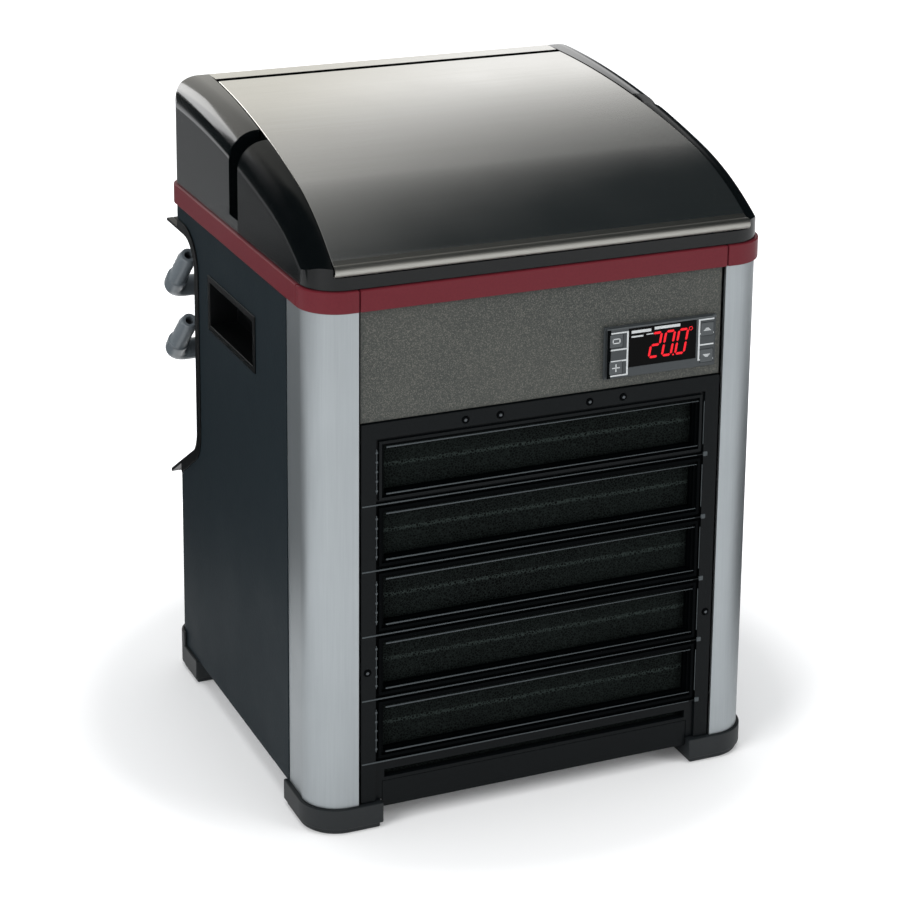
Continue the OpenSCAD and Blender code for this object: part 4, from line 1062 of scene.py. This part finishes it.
@dataclass
class ControlPanel:
    """The fascia and the temperature controller let into it."""

    bezel_x: float = 37.5
    bezel_z: float = 260.7
    bezel_w: float = 74.0
    bezel_h: float = 32.0
    face_y: float = 0.65
    keys: dict[str, tuple[float, float]] = field(
        default_factory=lambda: {
            "key_set": (40.09, 280.54), "key_standby": (40.09, 263.9),
            "key_up": (100.41, 280.54), "key_down": (100.41, 263.9),
        }
    )
    key_y: float = 0.45
    window_y: float = 0.55
    key_w: float = 8.5
    key_h: float = 8.0

    def _bar(self, left: float, low: float, right: float, high: float, face_y: float) -> bpy.types.Object:
        """Makes one raised printed bar.

        Args:
            left: Its left end, as a share of the bezel's width.
            low: Its lower edge, as a share of the bezel's height.
            right: Its right end.
            high: Its upper edge.
            face_y: The face that it is printed on, in mm.

        Returns:
            The bar.
        """
        return block(
            "bar", at(self.bezel_x + left * self.bezel_w, face_y - 0.1, self.bezel_z + low * self.bezel_h),
            at(
                self.bezel_x + right * self.bezel_w, face_y + 0.05, self.bezel_z + high * self.bezel_h,
            ), 0.04, 1,
        )

    def _brackets(self) -> bpy.types.Object:
        """Makes the printed brackets that frame the keys.

        Returns:
            The brackets as one piece.
        """
        bars = [(0.185, 0.06, 0.2, 0.91), (0.829, 0.14, 0.844, 0.95)]
        bars += [(0.03, v, 0.185, v + 0.028) for v in (0.06, 0.34, 0.56, 0.882)]
        bars += [(0.844, v, 0.97, v + 0.028) for v in (0.14, 0.43, 0.65, 0.922)]
        return joined("controller_brackets", [self._bar(*bar, self.face_y) for bar in bars])

    def _painted_reflection(self) -> bpy.types.Object:
        """Makes the pale strips at the head of the display, a painted reflection on its lens.

        Returns:
            The strips as one piece.
        """
        bars = [
            (0.225, 0.85, 0.4, 0.905), (0.43, 0.87, 0.66, 0.925), (0.225, 0.77, 0.33, 0.8),
            (0.36, 0.79, 0.42, 0.81),
        ]
        return joined("display_painted_reflection", [self._bar(*bar, self.window_y) for bar in bars])

    def _mark(self, key: str, bars: Sequence[tuple[float, float, float, float]]) -> bpy.types.Object:
        """Makes the light mark on one key.

        Args:
            key: The key's node.
            bars: Low and high corners of each bar, as shares of the key's face.

        Returns:
            The mark.
        """
        x, z = self.keys[key]
        made = [
            block(
                "bar", at(x + a * self.key_w, self.key_y - 0.12, z + b * self.key_h),
                at(x + c * self.key_w, self.key_y + 0.05, z + d * self.key_h), 0.04, 1,
            )
            for a, b, c, d in bars
        ]
        return joined(f"{key}_mark", made)

    def build(self) -> None:
        """Builds and dresses the fascia and the controller."""
        softened("front_fascia", "fascia_plate", FLECKED_POWDER, 0.4)
        softened("controller_housing", "controller_bezel", BEZEL_GREY, 0.5, 3)
        softened("display_window", "display_lens", DARK_ACRYLIC, 0.15)
        softened("display_digits", "lit_digits", RED_SEGMENTS, 0.0)
        pick_up(bpy.data.objects["lit_digits"])
        bpy.ops.object.mode_set(mode="EDIT")
        bpy.ops.mesh.select_all(action="SELECT")
        bpy.ops.transform.shrink_fatten(value=-0.14 * MM, use_even_offset=True)
        bpy.ops.object.mode_set(mode="OBJECT")
        for key in self.keys:
            softened(key, f"{key}_cap", KEY_SILICONE_AND_EDGE_HIGHLIGHT, 0.35)
        deliver(self._brackets(), PRINTED_GREY_AND_PAINTED_REFLECTION, ["controller_housing"], body=BODY_OF["controller_housing"])
        # A dark strip down the bezel's left side: painted shadow
        shadow_strip = self._bar(0.012, 0.03, 0.045, 0.97, self.face_y)
        # A light bar along the bezel's upper edge: painted highlight
        edge = self._bar(0.01, 0.962, 0.99, 0.99, self.face_y)
        deliver(
            joined("controller_upper_edge_highlight", [edge]), KEY_SILICONE_AND_EDGE_HIGHLIGHT, ["controller_housing"],
            body=BODY_OF["controller_housing"],
        )
        deliver(
            joined("controller_shadow_strip", [shadow_strip]), NYLON_PAINTED_SHADE, ["controller_housing"],
            body=BODY_OF["controller_housing"],
        )
        # Pale strips on the lens: painted reflection
        deliver(self._painted_reflection(), PRINTED_GREY_AND_PAINTED_REFLECTION, ["display_window"], body=BODY_OF["display_window"])
        steps = (0.12, 0.2, 0.28)
        marks = {
            "key_set": [
                (0.2, 0.3, 0.8, 0.38), (0.2, 0.62, 0.8, 0.7), (0.2, 0.3, 0.28, 0.7), (0.72, 0.3, 0.8, 0.7),
            ],
            "key_standby": [(0.2, 0.46, 0.8, 0.54), (0.46, 0.2, 0.54, 0.8)],
            "key_up": [(0.5 - s, 0.66 - s, 0.5 + s, 0.72 - s) for s in steps],
            "key_down": [(0.5 - s, 0.28 + s, 0.5 + s, 0.34 + s) for s in steps],
        }
        for key, bars in marks.items():
            deliver(self._mark(key, bars), PRINTED_GREY_AND_PAINTED_REFLECTION, [key], body=BODY_OF[key])


@dataclass
class FilterDoor:
    """The pull-out front filter: a louvred frame, its studs and the foam behind it."""

    top_z: float = 238.0
    pitch: float = 40.6
    clear_h: float = 27.4
    count: int = 5
    half_w: float = 100.0
    face_y: float = 2.75
    back_y: float = 14.75
    pad_half: float = 103.0
    pad_front: float = 9.85
    pad_low: float = 27.9
    pad_top: float = 241.0
    stud_r: float = 1.1
    stud_places: tuple[tuple[float, float], ...] = (
        (-51.0, 248.35), (-28.85, 248.35), (28.85, 248.35), (51.0, 248.35),
        (-111.55, 100.05), (111.55, 100.05),
    )

    def foam(self) -> bpy.types.Object:
        """Makes the foam mat, whose face swells a little into each opening.

        Returns:
            The mat.
        """
        columns, rows = 160, 170
        y0, y1 = self.pad_front, self.back_y

        def place(i: int, j: int) -> Vector:
            """Gives a point of the mat's face."""
            u, v = i / (columns - 1), j / (rows - 1)
            x = self.pad_half * (2 * u - 1)
            z = self.pad_low + (self.pad_top - self.pad_low) * v
            below = (self.top_z - z) % self.pitch
            swell = 0.0
            if below < self.clear_h and abs(x) < self.half_w:
                a = math.sin(math.pi * below / self.clear_h)
                b = min(1.0, (self.half_w - abs(x)) / 6)
                swell = 0.9 * math.sqrt(max(a, 0.0)) * b
                swell += 0.6 * math.exp(-(((below - self.clear_h * 0.33) / 0.7) ** 2)) * b
            rough = 0.18 * math.sin(x * 2.1 + z * 0.7) * math.sin(z * 1.9 - x * 0.4)
            return at(x, y0 + 0.35 - swell + rough, z)

        made = shaped_grid("filter_foam_mat", columns, rows, place)
        bpy.ops.object.mode_set(mode="EDIT")
        bpy.ops.mesh.select_all(action="SELECT")
        bpy.ops.mesh.extrude_region_move(TRANSFORM_OT_translate={"value": (0, 0.004, 0)})
        bpy.ops.object.mode_set(mode="OBJECT")
        for vertex in made.data.vertices:
            if vertex.select:
                vertex.co.y = at(0, y1 - 0.1, 0).y
        tidy_mesh(made)
        deliver(made, FILTER_FOAM, ["filter_pad"], degrees=60)
        return made

    def studs(self) -> bpy.types.Object:
        """Makes the six domed studs that hold the foam's frame, and a black plug round each, in the darker
        nylon that paints shade.

        Returns:
            The plugs as one piece. The domes are a piece of their own.
        """
        made = []
        for x, z in self.stud_places:
            made.append(
                disc("stud", at(x, self.face_y + 1.2, z), Vector((0, -1, 0)), 2 * self.stud_r, 3.4, 0.3, 32)
            )
        # The plugs take the darker nylon: painted shade
        plugs = deliver(joined("filter_studs", made), NYLON_PAINTED_SHADE, ["filter_clips"])
        domes = [
            disc("dome", at(x, self.face_y + 1.0, z), Vector((0, -1, 0)), self.stud_r, 3.8, 0.5, 24)
            for x, z in self.stud_places
        ]
        deliver(joined("filter_stud_domes", domes), DARK_ZINC, ["filter_clips"], body=BODY_OF["filter_clips"])
        return plugs

    def ridges(self) -> bpy.types.Object:
        """Makes the light edges of the bars, the ticks and seams beside the openings, and the nubs, whose
        lighter colour is a painted highlight.

        Returns:
            The edges as one piece.
        """
        made = []
        half, face = self.half_w, self.face_y
        for row in range(self.count):
            top = self.top_z - row * self.pitch
            low = top - self.clear_h
            middle = low - (self.pitch - self.clear_h) / 2
            for z, left in ((low - 0.5, -half), (middle, -half - 15), (top + 0.6, -half)):
                line = block(
                    "ridge", at(left, face - 0.25, z - 0.45), at(half + 2, face + 0.3, z + 0.45), 0.12, 1,
                )
                # Each painted highlight thins out towards the right, where the highlight fades
                for vertex in line.data.vertices:
                    share = (vertex.co.x / MM - left) / (half + 2 - left)
                    vertex.co.z = z * MM + (vertex.co.z - z * MM) * (1 - 0.6 * share)
                made.append(line)
            for k in range(5):
                z = top - 2 - k * (self.clear_h - 4) / 4
                made.append(
                    block(
                        "tick", at(-half - 6.6, face - 0.3, z - 0.7),
                        at(-half - 5.2, face + 0.4, z + 0.7), 0.3, 2,
                    )
                )
            made.append(
                block("seam", at(-half - 6.1, face - 0.1, low), at(-half - 5.7, face + 0.4, top), 0.1, 1)
            )
            made.append(
                block("seam", at(half + 5.6, face - 0.1, low), at(half + 6.0, face + 0.4, top), 0.1, 1)
            )
            made.append(
                block(
                    "nub", at(half + 6.0, face - 0.5, middle - 1.4),
                    at(half + 9.0, face + 0.5, middle + 1.6), 0.5, 2,
                )
            )
        return joined("louvre_edges", made)

    def build(self) -> None:
        """Builds and dresses the filter."""
        grille = softened("filter_frame", "louvre_frame", FRAME_NYLON, 0.35)
        # The bars and the rest of the louvred field take the darker nylon: painted shade
        grille.data.materials.append(SHOP.get(NYLON_PAINTED_SHADE))
        low, high = self.top_z - self.count * self.pitch - 2, self.top_z + 3.5
        for face in grille.data.polygons:
            corners = [grille.data.vertices[i].co / MM for i in face.vertices]
            face.material_index = int(all(abs(v.x) < self.half_w + 9 and low < v.z < high for v in corners))
        self.studs()
        softened("bottom_rail", "lower_rail", FRAME_NYLON, 0.5)
        # The edges, ticks, seams and nubs are lighter nylon: painted highlight
        deliver(self.ridges(), NYLON_PAINTED_HIGHLIGHT, ["filter_frame"], body=BODY_OF["filter_frame"])
        self.foam()


@dataclass
class HoseFittings:
    """The two elbows at the rear left, their unions, the housing that holds them and the cord gland."""

    centre_x: float = -139.8
    y: float = 280.0
    heights: dict[str, float] = field(default_factory=lambda: {"elbow_outlet": 256.0, "elbow_inlet": 212.0})
    body_r: float = 7.2
    bore_r: float = 2.74
    housing_x: float = -112.0
    union_t: float = 6.0
    gap: float = 0.4
    bend_r: float = 7.6
    tail_l: float = 48.0
    lean: float = 48.0

    def elbow(self, node: str, z: float) -> bpy.types.Object:
        """Makes one elbow with a smooth bend and a stepped hose tail.

        Args:
            node: The frame part that it stands for.
            z: Height of its arm.

        Returns:
            The elbow.
        """
        lean = math.radians(self.lean)
        tail = Vector((0, -math.sin(lean), math.cos(lean)))
        inward = Vector((-1, 0, 0))
        side = inward.cross(tail).normalized()
        bend = self.bend_r
        corner = Vector((self.centre_x, self.y, z))
        start_x = self.housing_x - self.union_t - self.gap
        r = self.body_r
        rows: list[tuple[Vector, Vector, float]] = []

        def arm(x: float, radius: float) -> None:
            """Adds a ring on the arm."""
            rows.append((at(x, self.y, z), inward, radius))

        def up(distance: float, radius: float) -> None:
            """Adds a ring on the tail."""
            p = corner + tail * distance
            rows.append((at(*p), tail, radius))

        spigot = self.body_r * 0.62 + 0.3
        arm(start_x - 3, self.bore_r)
        arm(self.housing_x - self.gap, self.bore_r)
        arm(self.housing_x - self.gap, spigot)
        arm(start_x, spigot)
        arm(start_x, r - 0.6)
        arm(start_x - 0.6, r)
        arm(start_x - 3.4, r)
        arm(start_x - 3.8, r - 0.5)
        arm(start_x - 4.6, r - 0.5)
        arm(start_x - 5.0, r - 0.15)
        steps = 12
        middle = corner + Vector((bend, 0, 0)) + tail * bend
        for k in range(steps + 1):
            a = math.pi / 2 * k / steps
            p = middle + (-tail * math.cos(a) + inward * math.sin(a)) * bend
            rows.append((at(*p), (inward * math.cos(a) + tail * math.sin(a)).normalized(), r - 0.15))
        end = self.tail_l
        up(bend + 4, r - 0.15)
        up(bend + 4.6, r)
        up(bend + 8.4, r)
        up(bend + 9.0, r * 0.86)
        for k in range(4):
            base = end * 0.44 + k * end * 0.135
            up(base, r * 0.72)
            up(base + 0.4, r * 0.86)
            up(base + end * 0.11, r * 0.74)
        up(end - 0.6, r * 0.7)
        up(end, r * 0.62)
        up(end, self.bore_r)
        up(end - 20, self.bore_r)
        made = swept(f"{node}_fitting", rows, side)
        return deliver(made, FITTING_GREY, [node], degrees=40)

    def build(self) -> None:
        """Builds and dresses the fittings."""
        for node, z in self.heights.items():
            self.elbow(node, z)
        softened("port_unions", "union_collars", FITTING_GREY, 0.4)
        softened("connection_housing", "connection_box", TRIM_NYLON, 0.8, 3)
        softened("cord_gland", "gland_sleeve", TRIM_NYLON, 0.5)


@dataclass
class CoolingPack:
    """Everything inside the case: condenser, fan, compressor, exchanger and pipework."""

    def build(self) -> None:
        """Dresses the inner parts."""
        for node, name, finish, edge in (
            ("fan_shroud", "shroud_pressing", GALVANISED, 0.4),
            ("motor_bracket", "motor_arms", ZINC_STEEL, 0.5),
            ("fan_motor", "fan_motor_can", ENAMEL_BLACK, 1.0),
            ("fan_rotor", "fan_rotor_moulding", ROTOR_NYLON, 0.3),
            ("compressor", "compressor_shell", ENAMEL_BLACK, 1.2),
            ("compressor_mounts", "compressor_cushions", TRIM_NYLON, 0.6),
            ("relay_box", "relay_cover", TRIM_NYLON, 0.6),
            ("exchanger_vessel", "exchanger_shell", VESSEL_GREY, 0.8),
            ("exchanger_cap", "exchanger_lid", VESSEL_GREY, 1.0),
            ("filter_drier", "drier_can", COPPER_TUBE, 0.8),
            ("control_box", "control_box_shell", TRIM_NYLON, 0.8),
        ):
            softened(node, name, finish, edge)
        for node, finish in (
            ("condenser_fins", FIN_ALUMINIUM), ("condenser_tube", COPPER_TUBE), ("cooling_coil", TITANIUM),
            ("refrigerant_pipes", COPPER_TUBE), ("water_hoses", HOSE_PVC),
        ):
            softened(node, f"{node}_drawn", finish, 0.0, degrees=40)


# The studio


@dataclass
class Studio:
    """Floor, lamps, world and camera."""

    focal_px: float = 2622.99
    yaw: float = 23.38
    pitch: float = 14.61
    roll: float = 0.53
    eye: tuple[float, float, float] = (-624.78, -1298.31, 788.3)
    shift_y: float = -0.3496
    ambient: float = 0.55
    floor_size: float = 14.0
    floor_sink: float = 0.0002
    floor_grey: float = 0.96
    floor_lift: float = 0.05
    floor_lift_far: float = 0.6
    shade_near: float = 0.22
    shade_far: float = 0.33
    mirrored_lift: float = 0.1
    surround_left: tuple[float, float, float, float] = (0.715, 0.703, 0.658, 1.0)
    surround_right: tuple[float, float, float, float] = (1.0, 1.0, 1.0, 1.0)
    surround_turn: tuple[float, float] = (0.35, 0.43)

    def camera(self) -> None:
        """Places the camera at the photograph's angle."""
        data = bpy.data.cameras.new("camera")
        data.sensor_width = SENSOR
        data.lens = self.focal_px / FRAME_PX * SENSOR
        data.shift_y = self.shift_y
        data.clip_end = 50
        eye = bpy.data.objects.new("camera", data)
        bpy.context.scene.collection.objects.link(eye)
        yaw, pitch, roll = (math.radians(v) for v in (self.yaw, self.pitch, self.roll))
        ahead = Vector((math.sin(yaw) * math.cos(pitch), math.cos(yaw) * math.cos(pitch), -math.sin(pitch)))
        right = Vector((math.cos(yaw), -math.sin(yaw), 0))
        up = right.cross(ahead)
        right, up = right * math.cos(roll) + up * math.sin(roll), up * math.cos(roll) - right * math.sin(roll)
        turned = Matrix((right, up, -ahead)).transposed().to_4x4()
        eye.matrix_world = Matrix.Translation(at(*self.eye)) @ turned
        bpy.context.scene.camera = eye

    def _seen_clean(self, tree: bpy.types.NodeTree) -> bpy.types.NodeSocket:
        """Gives 1 for rays that see the background: camera, glossy and transmission rays.

        Args:
            tree: The tree that takes the nodes.

        Returns:
            The socket.
        """
        path = add_node(tree, "ShaderNodeLightPath")
        two = add_node(
            tree, "ShaderNodeMath", {"operation": "MAXIMUM"},
            i0=path.outputs["Is Camera Ray"], i1=path.outputs["Is Glossy Ray"],
        )
        return add_node(
            tree, "ShaderNodeMath", {
                "operation": "MAXIMUM"
            }, i0=two.outputs[0], i1=path.outputs["Is Transmission Ray"]
        ).outputs[0]

    def world(self) -> None:
        """Sets a white surround with a softer light for the object."""
        world = bpy.data.worlds.new("studio")
        bpy.context.scene.world = world
        world.use_nodes = True
        tree = world.node_tree
        tree.nodes.clear()
        soft = add_node(tree, "ShaderNodeBackground", Color=(0.96, 0.98, 1.0, 1.0), Strength=self.ambient)
        # Reflections find the surround a little dimmer and warmer towards the left
        way = add_node(
            tree, "ShaderNodeSeparateXYZ", Vector=add_node(tree, "ShaderNodeTexCoord").outputs["Object"],
        )
        slant = add_node(
            tree, "ShaderNodeMath", {"operation": "ARCTAN2"}, i0=way.outputs[0], i1=way.outputs[1],
        )
        start, end = self.surround_turn
        share = add_node(tree, "ShaderNodeMapRange", Value=slant.outputs[0], i1=start, i2=end, i3=0.0, i4=1.0)
        glossy = add_node(tree, "ShaderNodeLightPath").outputs["Is Glossy Ray"]
        warm = add_node(
            tree, "ShaderNodeMix", {"data_type": "RGBA"}, Factor=share.outputs[0],
            i6=self.surround_left, i7=self.surround_right,
        )
        tone = add_node(
            tree, "ShaderNodeMix", {"data_type": "RGBA"},
            Factor=glossy, i6=(1.0, 1.0, 1.0, 1.0), i7=warm.outputs[2]
        )
        white = add_node(tree, "ShaderNodeBackground", Color=tone.outputs[2], Strength=1.0)
        mixed = add_node(
            tree, "ShaderNodeMixShader", i0=self._seen_clean(tree), i1=soft.outputs[0],
            i2=white.outputs[0],
        )
        add_node(tree, "ShaderNodeOutputWorld", Surface=mixed.outputs[0])

    def floor(self) -> None:
        """Lays a pale floor that turns white where nothing shades it."""
        put_down()
        bpy.ops.mesh.primitive_plane_add(size=self.floor_size, location=(0, 0, -self.floor_sink))
        floor = bpy.context.object
        floor.name = "studio_floor"
        material = bpy.data.materials.new("studio_floor_paper")
        material.use_nodes = True
        tree = material.node_tree
        tree.nodes.clear()
        paper = add_node(tree, "ShaderNodeBsdfDiffuse", Color=(*[self.floor_grey] * 3, 1.0))
        place = add_node(tree, "ShaderNodeTexCoord").outputs["Object"]
        away = add_node(tree, "ShaderNodeVectorMath", {"operation": "LENGTH"}, i0=place).outputs[1]
        rise = add_node(
            tree, "ShaderNodeMapRange", Value=away,
            i1=self.shade_near, i2=self.shade_far, i3=self.floor_lift, i4=self.floor_lift_far,
        ).outputs[0]
        glossy = add_node(tree, "ShaderNodeLightPath").outputs["Is Glossy Ray"]
        plain = add_node(
            tree, "ShaderNodeMapRange", Value=glossy, i1=0.0, i2=1.0, i3=1.0, i4=self.mirrored_lift,
        ).outputs[0]
        eased = add_node(tree, "ShaderNodeMath", {"operation": "MULTIPLY"}, i0=rise, i1=plain).outputs[0]
        lift = add_node(
            tree, "ShaderNodeMath", {"operation": "MULTIPLY"}, i0=self._seen_clean(tree), i1=eased,
        )
        glow = add_node(tree, "ShaderNodeEmission", Color=(1.0, 1.0, 1.0, 1.0), Strength=lift.outputs[0])
        both = add_node(tree, "ShaderNodeAddShader", i0=paper.outputs[0], i1=glow.outputs[0])
        add_node(tree, "ShaderNodeOutputMaterial", Surface=both.outputs[0])
        floor.data.materials.append(material)

    def flag(
        self, name: str, centre: tuple[float, float, float], near: float, far: float,
        squeeze: tuple[float, float, float] = (1.0, 1.0, 1.0), upright: bool = False, depth: float = 1.0,
    ) -> None:
        """Puts up a black flag with feathered edges, which only reflections show.

        Args:
            name: Its name.
            centre: The middle of its dark part, in metres.
            near: How far from there it starts to thin out, in metres.
            far: How far from there it ends.
            squeeze: Factors on the distance along X, Y and Z.
            upright: Whether it stands square to X, and not level.
            depth: How much it hides in its middle, up to 1.
        """
        put_down()
        size = 2 * far / min(squeeze) + 0.2
        bpy.ops.mesh.primitive_plane_add(
            size=size, location=centre, rotation=(0, math.pi / 2 if upright else 0, 0),
        )
        flag = bpy.context.object
        flag.name = name
        bpy.ops.object.transform_apply(location=True, rotation=True, scale=True)
        material = bpy.data.materials.new(f"{name}_cloth")
        material.use_nodes = True
        tree = material.node_tree
        tree.nodes.clear()
        place = add_node(tree, "ShaderNodeTexCoord").outputs["Object"]
        centred = add_node(tree, "ShaderNodeVectorMath", {"operation": "SUBTRACT"}, i0=place, i1=centre)
        scaled = add_node(
            tree, "ShaderNodeVectorMath", {"operation": "MULTIPLY"}, i0=centred.outputs[0], i1=squeeze,
        )
        reach = add_node(tree, "ShaderNodeVectorMath", {"operation": "LENGTH"}, i0=scaled.outputs[0])
        feather = add_node(
            tree, "ShaderNodeMapRange", {"interpolation_type": "SMOOTHSTEP"}, Value=reach.outputs[1],
            i1=near, i2=far, i3=depth, i4=0.0,
        )
        clear = add_node(tree, "ShaderNodeBsdfTransparent")
        dark = add_node(tree, "ShaderNodeEmission", Color=(0.012, 0.016, 0.018, 1.0), Strength=1.0)
        mixed = add_node(
            tree, "ShaderNodeMixShader", i0=feather.outputs[0], i1=clear.outputs[0], i2=dark.outputs[0],
        )
        add_node(tree, "ShaderNodeOutputMaterial", Surface=mixed.outputs[0])
        flag.data.materials.append(material)
        flag.visible_camera = False
        flag.visible_diffuse = False
        flag.visible_shadow = False
        flag.visible_transmission = False

    def lamp(
        self, name: str, place: tuple[float, float, float], aim: tuple[float, float, float],
        size: float, watts: float,
        mirrored: bool = False,
    ) -> None:
        """Hangs one softbox.

        Args:
            name: Its name.
            place: Where it hangs, in metres.
            aim: What it points at, in metres.
            size: Its width in metres.
            watts: Its power.
            mirrored: Whether reflections show it.
        """
        data = bpy.data.lights.new(name, "AREA")
        data.shape = "SQUARE"
        data.size = size
        data.energy = watts
        lamp = bpy.data.objects.new(name, data)
        bpy.context.scene.collection.objects.link(lamp)
        lamp.location = place
        # A lamp that reflections show is there for them alone
        lamp.visible_glossy = mirrored
        lamp.visible_diffuse = not mirrored
        lamp.rotation_euler = (Vector(aim) - Vector(place)).to_track_quat("-Z", "Y").to_euler()

    def build(self) -> None:
        """Sets up the whole studio."""
        self.camera()
        self.world()
        self.floor()
        self.flag("overhead_flag", (1.98, -0.89, 1.7), 2.04, 4.3, (1.34, 1.0, 1.0))
        self.flag("upper_left_flag", (-1.55, 0.3, 1.6), 1.3, 1.55)
        self.flag("left_flag", (-1.3, 1.2, 0.9), 1.2, 1.5, (1.0, 0.55, 1.2), True)
        self.flag("right_flag", (1.6, 0.9, 0.55), 0.75, 1.05, (1.0, 0.5, 1.3), True)
        self.flag("floor_flag", (-0.45, 0.5, 0.0004), 0.4, 0.54, (1.6, 1.0, 1.0))
        self.flag("tower_flag", (-0.6, 1.3, 0.0006), 0.45, 0.6, (1.0, 1.0, 1.0), False, 0.78)
        self.flag("right_floor_flag", (0.62, 0.0, 0.0004), 0.2, 0.52)
        self.lamp("left_softbox", (-1.9, -0.9, 1.3), (0, 0, 0.2), 1.2, 26.0)
        self.lamp("right_softbox", (1.7, -1.7, 1.2), (0, 0, 0.2), 1.2, 22.0)
        self.lamp("shoulder_softbox", (-0.75, 1.9, 1.05), (0, 0, 0.35), 0.64, 2.9, True)
        self.lamp("top_softbox", (0.0, 0.2, 2.3), (0, 0, 0.2), 1.6, 20.0)
        bpy.context.scene.view_settings.view_transform = "Standard"


def main() -> None:
    """Builds the unit and the studio, in order."""
    logging.basicConfig(level=logging.INFO, format="%(message)s")
    sizes = CaseSizes()
    Studio().build()
    Cabinet(sizes).build()
    ControlPanel().build()
    FilterDoor().build()
    TopLid(sizes).build()
    RearHood(sizes).build()
    HoseFittings().build()
    CoolingPack().build()
    put_down()


if __name__ == "__main__":
    main()
